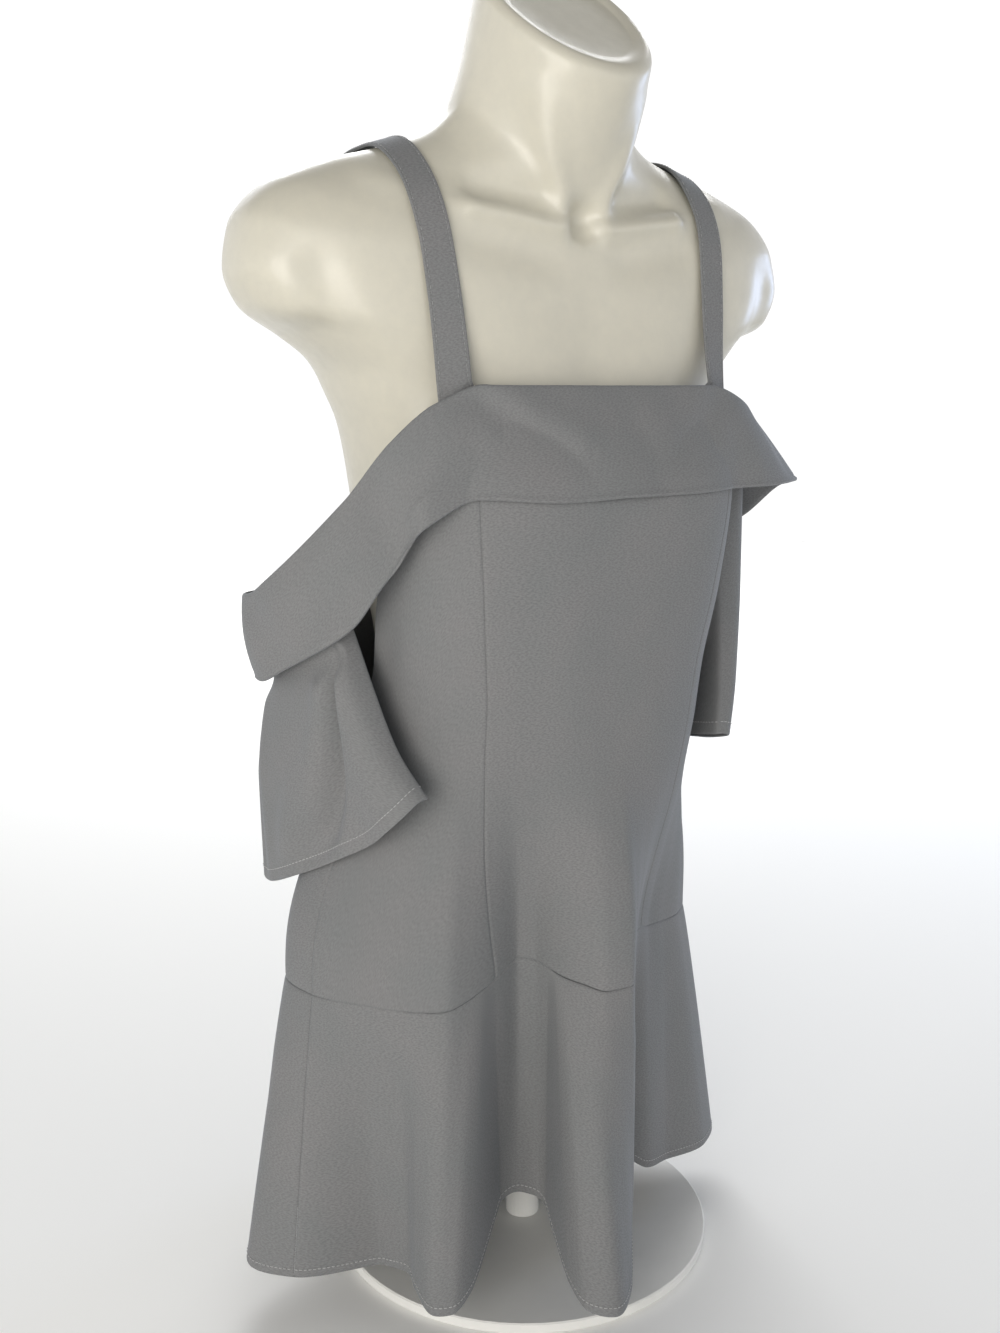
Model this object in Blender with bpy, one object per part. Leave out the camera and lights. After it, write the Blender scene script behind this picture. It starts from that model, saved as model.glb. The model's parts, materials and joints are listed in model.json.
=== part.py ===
"""Off-shoulder dress with a band, straps, bell sleeves and a flounce, worn on a limbless form."""

import math

import bmesh
import bpy
import numpy as np
from mathutils import Vector
from mathutils.bvhtree import BVHTree

# Metres. The front of the dress faces -Y and its right side is at -X. The floor is z = 0.
# An angle is measured about the upright axis from the front, positive towards +X.

CLOTH_WALL = 0.0018
BAND_WALL = 0.0024
STRAP_WALL = 0.0020
SEAM_GAP = 0.0003

STEEPEST_FACING = 0.5
LEVEL_ROWS = 2
LEVEL_COLUMNS = 2

BASE_RADIUS = 0.140
BASE_HEIGHT = 0.008
POST_RADIUS = 0.0125

FOLD_START = 0.412

STRAP_WIDTH = 0.022
STRAP_TUCK = 0.010
STRAP_CLEARANCE = 0.0020
STRAP_REST = 0.0024

BAND_REST = 0.0013

SLEEVE_SEAT_DEPTH = 0.35
SLEEVE_COVER = 0.015
SLEEVE_FREEDOM = 0.030
SLEEVE_LOOSEN = 0.045
SLEEVE_BLEND = 0.005
SEAT_STEPS = 8
SLEEVE_GAP = 0.0024
SLEEVE_SEAM = 0.0009
SLEEVE_BODY_GAP = 0.0035
SLEEVE_BAND_GAP = 0.0060
SLEEVE_SQUARENESS = 3.2

# Smooth worn shape of the bodice: a row per level.
# height, half width on the right, half width on the left, front depth, back depth, squareness
BODY_LEVELS = (
    (0.640, 0.140, 0.140, 0.092, 0.096, 3.0),
    (0.560, 0.146, 0.134, 0.121, 0.103, 3.0),
    (0.500, 0.144, 0.129, 0.118, 0.101, 2.8),
    (0.440, 0.139, 0.120, 0.112, 0.096, 2.6),
    (0.380, 0.140, 0.117, 0.107, 0.101, 2.5),
    (0.320, 0.145, 0.126, 0.110, 0.110, 2.3),
    (0.240, 0.174, 0.146, 0.125, 0.126, 2.1),
)
BACK_SQUARENESS = 2.3

# Folds of the skirt and flounce: a row per ridge, valley or slope between them.
# angle, radius at the flounce seam, height of the seam, radius at the hem, height of the hem
FOLDS = (
    (-160.0, 0.120, 0.238, 0.122, 0.046),
    (-140.0, 0.142, 0.235, 0.178, 0.035),
    (-118.0, 0.146, 0.237, 0.142, 0.042),
    (-93.0, 0.186, 0.235, 0.222, 0.033),
    (-84.0, 0.183, 0.235, 0.203, 0.034),
    (-72.0, 0.170, 0.235, 0.152, 0.037),
    (-64.5, 0.162, 0.234, 0.154, 0.040),
    (-59.0, 0.157, 0.234, 0.167, 0.039),
    (-52.5, 0.150, 0.235, 0.179, 0.034),
    (-48.5, 0.135, 0.238, 0.175, 0.035),
    (-45.9, 0.124, 0.241, 0.154, 0.040),
    (-44.6, 0.118, 0.242, 0.109, 0.056),
    (-43.2, 0.112, 0.244, 0.089, 0.067),
    (-35.0, 0.090, 0.251, 0.083, 0.072),
    (-29.0, 0.091, 0.250, 0.087, 0.072),
    (-23.8, 0.098, 0.247, 0.094, 0.067),
    (-22.6, 0.100, 0.246, 0.113, 0.056),
    (-21.3, 0.102, 0.245, 0.147, 0.042),
    (-18.8, 0.106, 0.243, 0.169, 0.035),
    (-13.0, 0.115, 0.240, 0.178, 0.033),
    (-6.0, 0.124, 0.236, 0.160, 0.031),
    (2.0, 0.125, 0.236, 0.132, 0.037),
    (10.0, 0.112, 0.239, 0.112, 0.045),
    (21.0, 0.097, 0.245, 0.092, 0.056),
    (36.0, 0.089, 0.250, 0.074, 0.072),
    (50.0, 0.092, 0.244, 0.096, 0.050),
    (62.0, 0.104, 0.240, 0.112, 0.044),
    (75.0, 0.126, 0.236, 0.155, 0.037),
    (87.0, 0.143, 0.235, 0.178, 0.035),
    (106.0, 0.132, 0.237, 0.134, 0.045),
    (126.0, 0.142, 0.235, 0.176, 0.034),
    (150.0, 0.118, 0.238, 0.120, 0.050),
    (177.0, 0.132, 0.235, 0.166, 0.035),
)

# Top edge of the bodice and its armholes: angle from the front, height (same on both sides).
BODICE_TOP = (
    (0.0, 0.629),
    (47.0, 0.629),
    (54.0, 0.616),
    (62.0, 0.586),
    (69.0, 0.540),
    (74.0, 0.490),
    (78.0, 0.450),
    (84.0, 0.425),
    (92.0, 0.416),
    (100.0, 0.425),
    (108.0, 0.450),
    (118.0, 0.482),
    (126.0, 0.508),
    (133.0, 0.543),
    (140.0, 0.583),
    (148.0, 0.613),
    (180.0, 0.620),
)

# Princess seams: height, angle of the right seam, angle of the left seam.
PRINCESS = (
    (0.640, 46.0, 46.0),
    (0.560, 44.0, 44.0),
    (0.500, 43.5, 41.0),
    (0.440, 43.5, 39.0),
    (0.400, 44.5, 39.0),
    (0.340, 45.0, 40.0),
    (0.280, 44.0, 39.5),
    (0.250, 43.0, 39.5),
)
SIDE_SEAM_RIGHT = -84.0
SIDE_SEAM_LEFT = 86.0

# The fold-over band: a row per station around the body.
# angle, top radius, top height, lower radius, lower height, outward bow of the middle
BAND = (
    (-180.0, 0.106, 0.627, 0.121, 0.556, 0.002),
    (-155.0, 0.112, 0.625, 0.128, 0.555, 0.002),
    (-143.0, 0.122, 0.600, 0.136, 0.532, 0.003),
    (-134.0, 0.127, 0.550, 0.142, 0.489, 0.003),
    (-126.0, 0.139, 0.515, 0.154, 0.463, 0.004),
    (-112.0, 0.171, 0.500, 0.180, 0.442, 0.004),
    (-96.0, 0.205, 0.502, 0.196, 0.443, 0.004),
    (-86.0, 0.204, 0.516, 0.192, 0.456, 0.005),
    (-70.0, 0.184, 0.566, 0.176, 0.487, 0.006),
    (-62.0, 0.171, 0.600, 0.172, 0.520, 0.004),
    (-54.0, 0.152, 0.624, 0.168, 0.549, 0.003),
    (-44.0, 0.132, 0.635, 0.147, 0.566, 0.003),
    (-22.0, 0.108, 0.635, 0.130, 0.563, 0.003),
    (0.0, 0.101, 0.635, 0.127, 0.565, 0.003),
    (22.0, 0.108, 0.635, 0.130, 0.565, 0.003),
    (44.0, 0.132, 0.635, 0.147, 0.566, 0.003),
    (54.0, 0.148, 0.627, 0.170, 0.566, 0.003),
    (68.0, 0.166, 0.612, 0.201, 0.567, 0.003),
    (82.0, 0.174, 0.598, 0.221, 0.562, 0.003),
    (96.0, 0.176, 0.590, 0.219, 0.530, 0.004),
    (112.0, 0.172, 0.590, 0.198, 0.514, 0.004),
    (128.0, 0.156, 0.600, 0.172, 0.524, 0.003),
    (142.0, 0.134, 0.616, 0.148, 0.544, 0.003),
    (158.0, 0.112, 0.625, 0.128, 0.554, 0.002),
)

# Bell sleeves: a row per level, from under the band to the hem.
# front fold x, y, z; back fold x, y, z; outward bulge and its lift; inward bulge and its lift;
# depth of the soft fold in the outer side
SLEEVE_RIGHT = (
    (-0.158, -0.028, 0.500, -0.151, 0.062, 0.450, 0.030, 0.018, 0.013, -0.050, 0.000),
    (-0.154, -0.056, 0.452, -0.152, 0.067, 0.418, 0.030, 0.010, 0.010, -0.024, 0.003),
    (-0.147, -0.076, 0.411, -0.164, 0.073, 0.368, 0.027, -0.006, 0.009, -0.008, 0.005),
    (-0.137, -0.095, 0.382, -0.163, 0.078, 0.298, 0.024, -0.020, 0.010, 0.000, 0.007),
)
SLEEVE_LEFT = (
    (0.140, -0.050, 0.560, 0.150, 0.074, 0.545, 0.032, 0.024, 0.014, -0.132, 0.000),
    (0.139, -0.052, 0.490, 0.151, 0.076, 0.470, 0.032, 0.010, 0.009, -0.072, 0.003),
    (0.135, -0.060, 0.424, 0.150, 0.079, 0.409, 0.026, 0.000, 0.008, -0.020, 0.005),
    (0.127, -0.068, 0.384, 0.144, 0.081, 0.356, 0.021, -0.006, 0.007, 0.000, 0.006),
)
SLEEVE_FOLD_TURN = 68.0
SLEEVE_FOLD_WIDTH = 18.0

# Shoulder straps: centre line from the front neckline over the shoulder to the back neckline.
# distance from the middle, y, height
STRAP_LINE = (
    (0.1045, -0.0780, 0.650),
    (0.1068, -0.0695, 0.702),
    (0.1095, -0.0475, 0.748),
    (0.1110, -0.0170, 0.778),
    (0.1115, 0.0120, 0.787),
    (0.1095, 0.0400, 0.775),
    (0.1020, 0.0690, 0.736),
    (0.0910, 0.0820, 0.690),
    (0.0810, 0.0870, 0.645),
)

# Limbless torso: a row per ring, from the underside to the neck.
# half width, height at the sides; front y and height; back y and height; squareness; arch
TORSO_RINGS = (
    (0.028, 0.300, -0.026, 0.300, 0.026, 0.300, 2.0, 2.0),
    (0.060, 0.304, -0.048, 0.304, 0.048, 0.304, 2.0, 2.0),
    (0.086, 0.318, -0.066, 0.318, 0.066, 0.318, 2.1, 2.0),
    (0.101, 0.345, -0.079, 0.345, 0.079, 0.345, 2.2, 2.0),
    (0.107, 0.385, -0.085, 0.385, 0.084, 0.385, 2.2, 2.0),
    (0.107, 0.435, -0.088, 0.435, 0.082, 0.435, 2.3, 2.0),
    (0.115, 0.500, -0.097, 0.500, 0.086, 0.500, 2.4, 2.0),
    (0.125, 0.560, -0.101, 0.560, 0.089, 0.560, 2.5, 2.0),
    (0.133, 0.610, -0.086, 0.608, 0.088, 0.610, 2.5, 2.0),
    (0.149, 0.640, -0.080, 0.634, 0.088, 0.642, 2.5, 2.0),
    (0.174, 0.664, -0.078, 0.656, 0.089, 0.670, 2.5, 2.0),
    (0.203, 0.684, -0.075, 0.676, 0.087, 0.694, 2.5, 2.0),
    (0.212, 0.706, -0.073, 0.694, 0.084, 0.716, 2.5, 2.0),
    (0.208, 0.732, -0.071, 0.710, 0.080, 0.740, 2.5, 2.0),
    (0.190, 0.754, -0.069, 0.722, 0.072, 0.762, 2.4, 2.0),
    (0.152, 0.771, -0.067, 0.731, 0.064, 0.780, 2.3, 2.0),
    (0.112, 0.782, -0.067, 0.739, 0.056, 0.793, 2.2, 2.0),
    (0.080, 0.794, -0.069, 0.748, 0.048, 0.807, 2.1, 1.8),
    (0.062, 0.812, -0.074, 0.762, 0.039, 0.827, 2.0, 1.5),
    (0.057, 0.834, -0.084, 0.782, 0.029, 0.856, 2.0, 1.2),
    (0.056, 0.852, -0.095, 0.804, 0.019, 0.888, 2.0, 1.0),
    (0.055, 0.864, -0.101, 0.820, 0.011, 0.908, 2.0, 1.0),
    (0.051, 0.870, -0.098, 0.827, 0.007, 0.913, 2.0, 1.0),
)

CLOTH_COLOUR = (0.190, 0.187, 0.182, 1.0)
FORM_COLOUR = (0.730, 0.710, 0.650, 1.0)
METAL_COLOUR = (0.800, 0.800, 0.790, 1.0)


def clear_scene():
    """Remove every object, so that the part starts from an empty scene."""
    for item in list(bpy.data.objects):
        bpy.data.objects.remove(item, do_unlink=True)


def smooth_curve(knots, values, at, period=None):
    """Shape-keeping cubic through the knots, without overshoot; `period` closes it on itself."""
    knots = np.asarray(knots, dtype=float)
    values = np.asarray(values, dtype=float)
    at = np.asarray(at, dtype=float)
    if period is not None:
        knots = np.concatenate([knots[-2:] - period, knots, knots[:2] + period])
        values = np.concatenate([values[-2:], values, values[:2]])
        at = (at - knots[2]) % period + knots[2]
    if knots[0] > knots[-1]:
        knots = knots[::-1]
        values = values[::-1]
    step = np.diff(knots)
    slope = np.diff(values) / step
    tangent = np.zeros_like(values)
    same = slope[:-1] * slope[1:] > 0.0
    first = 2.0 * step[1:] + step[:-1]
    second = step[1:] + 2.0 * step[:-1]
    safe_a = np.where(same, slope[:-1], 1.0)
    safe_b = np.where(same, slope[1:], 1.0)
    tangent[1:-1] = np.where(same, (first + second) / (first / safe_a + second / safe_b), 0.0)
    tangent[0] = slope[0]
    tangent[-1] = slope[-1]
    at = np.clip(at, knots[0], knots[-1])
    place = np.clip(np.searchsorted(knots, at, side="right") - 1, 0, len(step) - 1)
    width = step[place]
    t = (at - knots[place]) / width
    return (
        values[place] * (1.0 + 2.0 * t) * (1.0 - t) ** 2
        + tangent[place] * width * t * (1.0 - t) ** 2
        + values[place + 1] * t * t * (3.0 - 2.0 * t)
        + tangent[place + 1] * width * t * t * (t - 1.0)
    )


def column(table, index):
    """One named column of a table as a list."""
    return [row[index] for row in table]


def ease(t):
    """Smooth step from 0 to 1."""
    t = np.clip(t, 0.0, 1.0)
    return t * t * (3.0 - 2.0 * t)


def polar(radius, angle, height):
    """Point at an angle in degrees from the front, at a radius and a height."""
    turn = np.radians(angle)
    return np.stack(np.broadcast_arrays(radius * np.sin(turn), -radius * np.cos(turn), height), axis=-1)


def around(table, index, angle):
    """Value of a table's column at an angle, closed around the body."""
    return smooth_curve(column(table, 0), column(table, index), angle, period=360.0)


def worn_radius(angle, height):
    """Radius of the bodice's outer face, with the skirt's folds growing below the waist."""
    heights = column(BODY_LEVELS, 0)
    right, left, front, back, square = (
        smooth_curve(heights, column(BODY_LEVELS, index), height) for index in range(1, 6)
    )
    turn = np.radians(angle)
    side = np.where(np.sin(turn) < 0.0, right, left)
    depth = np.where(np.cos(turn) > 0.0, front, back)
    square = np.where(np.cos(turn) > 0.0, square, BACK_SQUARENESS)
    power = np.abs(np.sin(turn) / side) ** square + np.abs(np.cos(turn) / depth) ** square
    plain = power ** (-1.0 / square)
    share = ease((FOLD_START - height) / (FOLD_START - around(FOLDS, 2, angle)))
    return plain + (around(FOLDS, 1, angle) - plain) * share


def panel_surface(angle, top, bottom, rows):
    """Outer face of a bodice panel: columns of points from the top edge to the bottom edge."""
    share = np.linspace(0.0, 1.0, rows)[:, None]
    height = top[None, :] + (bottom - top)[None, :] * share
    angles = angle(height)
    return polar(worn_radius(angles, height), angles, height)


def flounce_surface(angle, rows):
    """Outer face of the flounce, from just under its seam to the hem."""
    share = np.linspace(0.0, 1.0, rows)[:, None]
    seam_radius = around(FOLDS, 1, angle)[None, :]
    seam_height = around(FOLDS, 2, angle)[None, :] - SEAM_GAP
    hem_radius = around(FOLDS, 3, angle)[None, :]
    hem_height = around(FOLDS, 4, angle)[None, :]
    spread = share**0.9
    height = seam_height + (hem_height - seam_height) * share
    radius = seam_radius + (hem_radius - seam_radius) * spread
    return polar(radius, angle[None, :], height)


def grid_normals(grid, closed, level):
    """Unit normals of a grid of points, which closes on itself when `closed`.

    Where `level` is 1 they point straight away from the upright axis instead, and are longer on
    slopes, so that panels on both sides of a seam keep the same edge. It is 0 elsewhere.
    """
    if closed:
        across = np.roll(grid, -1, axis=1) - np.roll(grid, 1, axis=1)
    else:
        across = np.gradient(grid, axis=1)
    normal = np.cross(np.gradient(grid, axis=0), across)
    normal /= np.linalg.norm(normal, axis=-1, keepdims=True)
    upright = np.cross(np.array([0.0, 0.0, -1.0]), across)
    upright /= np.linalg.norm(upright, axis=-1, keepdims=True)
    radial = grid * np.array([1.0, 1.0, 0.0])
    radial /= np.linalg.norm(radial, axis=-1, keepdims=True)
    facing = np.sum(radial * upright, axis=-1, keepdims=True)
    level = np.broadcast_to(level, grid.shape[:2])[..., None]
    return normal * (1.0 - level) + radial / np.maximum(facing, STEEPEST_FACING) * level


def add_object(name, points, faces, colour, roughness, metallic=0.0):
    """Make one named closed body with its own material, smooth shaded, facing out."""
    mesh = bpy.data.meshes.new(name)
    mesh.from_pydata([tuple(float(v) for v in point) for point in points], [], faces)
    body = bmesh.new()
    body.from_mesh(mesh)
    bmesh.ops.recalc_face_normals(body, faces=body.faces)
    if body.calc_volume(signed=True) < 0.0:
        bmesh.ops.reverse_faces(body, faces=body.faces)
    for face in body.faces:
        face.smooth = True
    body.to_mesh(mesh)
    body.free()
    mesh.set_sharp_from_angle(angle=math.radians(50.0))
    item = bpy.data.objects.new(name, mesh)
    bpy.context.scene.collection.objects.link(item)
    material = bpy.data.materials.new(name + "_finish")
    material.use_nodes = True
    shader = material.node_tree.nodes["Principled BSDF"]
    shader.inputs["Base Color"].default_value = colour
    shader.inputs["Roughness"].default_value = roughness
    shader.inputs["Metallic"].default_value = metallic
    material.diffuse_color = colour
    mesh.materials.append(material)
    return item


def cloth_faces(rows, columns, closed):
    """Faces of a doubled grid: both sides and the rims around them."""
    count = rows * columns
    faces = []
    spans = columns if closed else columns - 1
    for i in range(rows - 1):
        for j in range(spans):
            k = (j + 1) % columns
            a, b = i * columns + j, i * columns + k
            c, d = (i + 1) * columns + k, (i + 1) * columns + j
            faces.append((a, b, c, d))
            faces.append((a + count, d + count, c + count, b + count))
    last = (rows - 1) * columns
    for j in range(spans):
        k = (j + 1) % columns
        faces.append((j, j + count, k + count, k))
        faces.append((last + k, last + k + count, last + j + count, last + j))
    if not closed:
        for i in range(rows - 1):
            a, d = i * columns, (i + 1) * columns
            b, c = a + columns - 1, d + columns - 1
            faces.append((d, d + count, a + count, a))
            faces.append((b, b + count, c + count, c))
    return faces


def cloth(name, grid, wall, closed=False, level=0.0):
    """Cloth wall: the grid is its outer face and the inner face lies `wall` behind it."""
    rows, columns = grid.shape[:2]
    inner = grid - grid_normals(grid, closed, level) * wall
    points = np.concatenate([grid.reshape(-1, 3), inner.reshape(-1, 3)])
    return add_object(name, points, cloth_faces(rows, columns, closed), CLOTH_COLOUR, 0.85)


def gap_angle(radius=BODY_LEVELS[0][1]):
    """Half of a seam's gap as an angle in degrees."""
    return math.degrees(0.5 * SEAM_GAP / radius)


def princess_angle(side, height):
    """Signed angle of the right (-1) or left (+1) princess seam at a height."""
    return side * smooth_curve(column(PRINCESS, 0), column(PRINCESS, 1 if side < 0.0 else 2), height)


def bodice_top(angle):
    """Height of the bodice's top edge at an angle."""
    return smooth_curve(column(BODICE_TOP, 0), column(BODICE_TOP, 1), np.abs((angle + 180.0) % 360.0 - 180.0))


def bodice_panel(name, start, stop, columns, rows=11):
    """Bodice panel between two seams given as functions from height to angle.

    Returns the angles of its columns at the flounce seam.
    """
    across = np.linspace(0.0, 1.0, columns)

    def angles(height):
        return start(height) + (stop(height) - start(height)) * across

    top = np.full_like(across, BODICE_TOP[0][1])
    bottom = np.full_like(across, FOLDS[0][2])
    for _ in range(SEAT_STEPS):
        top = bodice_top(angles(top))
        bottom = around(FOLDS, 2, angles(bottom))
    cloth(name, panel_surface(angles, top, bottom, rows), CLOTH_WALL, level=1.0)
    return angles(bottom)


def build_bodice():
    """Centre front, two side fronts with the armholes, and the back.

    Returns the column angles at the flounce seam in front and at the back.
    """
    half = gap_angle()
    right = bodice_panel(
        "bodice_side_right",
        lambda height: np.full_like(height, SIDE_SEAM_RIGHT + half),
        lambda height: princess_angle(-1.0, height) - half,
        19,
    )
    middle = bodice_panel(
        "bodice_front",
        lambda height: princess_angle(-1.0, height) + half,
        lambda height: princess_angle(1.0, height) - half,
        37,
    )
    left = bodice_panel(
        "bodice_side_left",
        lambda height: princess_angle(1.0, height) + half,
        lambda height: np.full_like(height, SIDE_SEAM_LEFT - half),
        19,
    )
    back = bodice_panel(
        "bodice_back",
        lambda height: np.full_like(height, SIDE_SEAM_LEFT + half),
        lambda height: np.full_like(height, 360.0 + SIDE_SEAM_RIGHT - half),
        35,
    )
    return np.concatenate([right, middle[1:-1], left]), back


def build_flounce(front, back):
    """Front and back of the flounce, joined at the side seams; their columns meet the bodice's."""
    for name, angle in (("flounce_front", front), ("flounce_back", back)):
        grid = flounce_surface(angle, 8)
        rows, columns = grid.shape[:2]
        row = np.arange(rows)[:, None]
        from_side = np.minimum(np.arange(columns), np.arange(columns)[::-1])[None, :]
        level = 1.0 - ease(row / LEVEL_ROWS) * ease(from_side / LEVEL_COLUMNS)
        cloth(name, grid, CLOTH_WALL, level=level)


def band_point(angle, share):
    """Outer face of the band: share 0 is its top fold and 1 its lower edge."""
    top_radius, top_height, low_radius, low_height, bow = (
        around(BAND, index, angle) for index in range(1, 6)
    )
    height = top_height + (low_height - top_height) * share
    radius = top_radius + (low_radius - top_radius) * share + bow * 4.0 * share * (1.0 - share)
    seated = worn_radius(angle, height) + BAND_REST + BAND_WALL
    return polar(np.maximum(radius, seated), angle, height)


def band_inner_radius(angle, height):
    """Radius of the band's inner face at an angle and height."""
    top_radius, top_height, low_radius, low_height, bow = (
        around(BAND, index, angle) for index in range(1, 6)
    )
    share = np.clip((height - top_height) / (low_height - top_height), 0.0, 1.0)
    bulge = bow * 4.0 * share * (1.0 - share)
    slant = np.hypot(low_radius - top_radius, low_height - top_height) / (top_height - low_height)
    return top_radius + (low_radius - top_radius) * share + bulge - (BAND_WALL + SLEEVE_GAP) * slant


def build_band():
    """Fold-over band, one loop around the bodice and over both sleeves."""
    angle = np.linspace(-180.0, 180.0, 91)[:-1]
    share = np.linspace(0.0, 1.0, 5)[:, None]
    grid = band_point(angle[None, :], share)
    cloth("band", grid, BAND_WALL, closed=True)


def sleeve_grid(table, side, columns=32, rows=8):
    """Outer face of a bell sleeve as rings from under the band to the hem."""
    level = np.linspace(0.0, 1.0, len(table))
    share = np.linspace(0.0, 1.0, rows)
    front = np.stack([smooth_curve(level, column(table, k), share) for k in range(0, 3)], axis=-1)
    back = np.stack([smooth_curve(level, column(table, k), share) for k in range(3, 6)], axis=-1)
    out, out_lift, inn, in_lift, dip = (
        smooth_curve(level, column(table, k), share) for k in range(6, 11)
    )
    turn = np.linspace(0.0, 2.0 * np.pi, columns, endpoint=False)
    middle = 0.5 * (front + back)[:, None, :]
    reach = 0.5 * (front - back)[:, None, :]
    chord = reach / np.linalg.norm(reach, axis=-1, keepdims=True)
    normal = np.cross(chord, np.array([0.0, 0.0, 1.0]))
    normal *= side * np.sign(normal[..., :1])
    power = 2.0 / SLEEVE_SQUARENESS
    wave = (np.sign(np.sin(turn)) * np.abs(np.sin(turn)) ** power)[None, :, None]
    outer = np.clip(wave, 0.0, None)
    inner = np.clip(-wave, 0.0, None)
    grid = middle + reach * (np.sign(np.cos(turn)) * np.abs(np.cos(turn)) ** power)[None, :, None]
    grid = grid + normal * (outer * out[:, None, None] - inner * inn[:, None, None])
    fold = np.exp(-(((np.degrees(turn) - SLEEVE_FOLD_TURN) / SLEEVE_FOLD_WIDTH) ** 2))
    grid = grid - normal * fold[None, :, None] * dip[:, None, None]
    rise = np.clip(np.sin(turn), 0.0, None)[None, :] * out_lift[:, None]
    sink = np.clip(-np.sin(turn), 0.0, None)[None, :] * in_lift[:, None]
    grid[..., 2] += rise + sink
    return seat_sleeve(grid, side, np.sin(turn), share)


def reach_across(radius_at, side, x, y, height):
    """Distance from the middle plane to a surface given by its radius, at each y and height."""
    away = np.abs(x)
    for _ in range(SEAT_STEPS):
        angle = np.degrees(np.arctan2(side * away, -y))
        away = np.sqrt(np.maximum(radius_at(angle, height) ** 2 - y**2, CLOTH_WALL**2))
    return away


def seat_sleeve(grid, side, wave, share):
    """Move the sleeve's top to the band's inner face outside and to the armhole's edge inside."""
    x, y, height = grid[..., 0], grid[..., 1], grid[..., 2]
    angle = np.degrees(np.arctan2(x, -y))
    near_top = ease(1.0 - share / SLEEVE_SEAT_DEPTH)[:, None]
    lower_edge = around(BAND, 4, angle)
    covered = ease((height - lower_edge) / SLEEVE_COVER)
    under_band = ease(wave * 1.6 - 0.4)[None, :] * near_top * covered
    under_arm = ease(-wave * 1.6 - 0.4)[None, :] * near_top
    band = reach_across(band_inner_radius, side, x, y, height) - SLEEVE_BAND_GAP * (1.0 - near_top)
    body = reach_across(worn_radius, side, x, y, height) + SLEEVE_SEAM
    away = side * x
    moved = away + (band - away) * under_band + (body - away) * under_arm
    limit = band + SLEEVE_FREEDOM * ease((lower_edge - height) / SLEEVE_LOOSEN)
    inside = 0.5 * (moved + limit - np.hypot(moved - limit, SLEEVE_BLEND))
    clear = np.maximum(inside, body + SLEEVE_BODY_GAP * (1.0 - near_top))
    return np.stack([side * clear, y, height], axis=-1)


def build_sleeves():
    """Right and left bell sleeves."""
    for name, table, side in (
        ("sleeve_right", SLEEVE_RIGHT, -1.0),
        ("sleeve_left", SLEEVE_LEFT, 1.0),
    ):
        grid = sleeve_grid(table, side)
        if side > 0.0:
            cloth(name, grid, CLOTH_WALL, closed=True)
        else:
            cloth(name, grid[:, ::-1], CLOTH_WALL, closed=True)


def strap_path():
    """Centre line of the left strap: tucked behind the neckline in front and at the back."""
    ends = []
    for away, y, _ in (STRAP_LINE[0], STRAP_LINE[-1]):
        angle = np.degrees(np.arctan2(away, -y))
        low = float(bodice_top(angle)) - STRAP_TUCK
        pair = []
        for height in (low, low + STRAP_TUCK * 0.5, low + STRAP_TUCK):
            radius = float(worn_radius(angle, np.array(height))) - CLOTH_WALL - SEAM_GAP
            pair.append((away, math.copysign(math.sqrt(radius**2 - away**2), y), height))
        ends.append(pair)
    points = np.array(ends[0] + list(STRAP_LINE) + ends[1][::-1])
    length = np.concatenate([[0.0], np.cumsum(np.linalg.norm(np.diff(points, axis=0), axis=1))])
    at = np.linspace(0.0, length[-1], 41)
    return np.stack([smooth_curve(length, points[:, k], at) for k in range(3)], axis=-1)


def tuck_inside(point):
    """Keep a strap's point behind the bodice where the bodice covers it."""
    angle = np.degrees(np.arctan2(point[0], -point[1]))
    if point[2] > bodice_top(angle) + STRAP_TUCK:
        return point
    radius = float(np.hypot(point[0], point[1]))
    limit = float(worn_radius(angle, point[2])) - CLOTH_WALL - STRAP_REST
    return polar(min(radius, limit), angle, point[2])


def build_straps(torso):
    """Straps as flat strips over the shoulders, clear of the form."""
    body = bmesh.new()
    body.from_mesh(torso.data)
    tree = BVHTree.FromBMesh(body)
    line = strap_path()
    for name, side in (("strap_right", -1.0), ("strap_left", 1.0)):
        path = line * np.array([side, 1.0, 1.0])
        along = np.gradient(path, axis=0)
        along /= np.linalg.norm(along, axis=1, keepdims=True)
        rows = []
        for point, ahead in zip(path, along):
            _, normal, _, _ = tree.find_nearest(Vector(point))
            across = np.cross(np.array(normal), ahead)
            across /= np.linalg.norm(across)
            up = np.cross(ahead, across)
            row = []
            for offset in np.linspace(-0.5, 0.5, 4):
                edge = tuck_inside(point + across * STRAP_WIDTH * offset)
                near, facing, _, _ = tree.find_nearest(Vector(edge))
                height = float(np.dot(edge - np.array(near), np.array(facing)))
                row.append(edge + up * max(0.0, STRAP_WALL + STRAP_CLEARANCE - height))
            rows.append(row)
        cloth(name, np.array(rows), STRAP_WALL)
    body.free()


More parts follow.
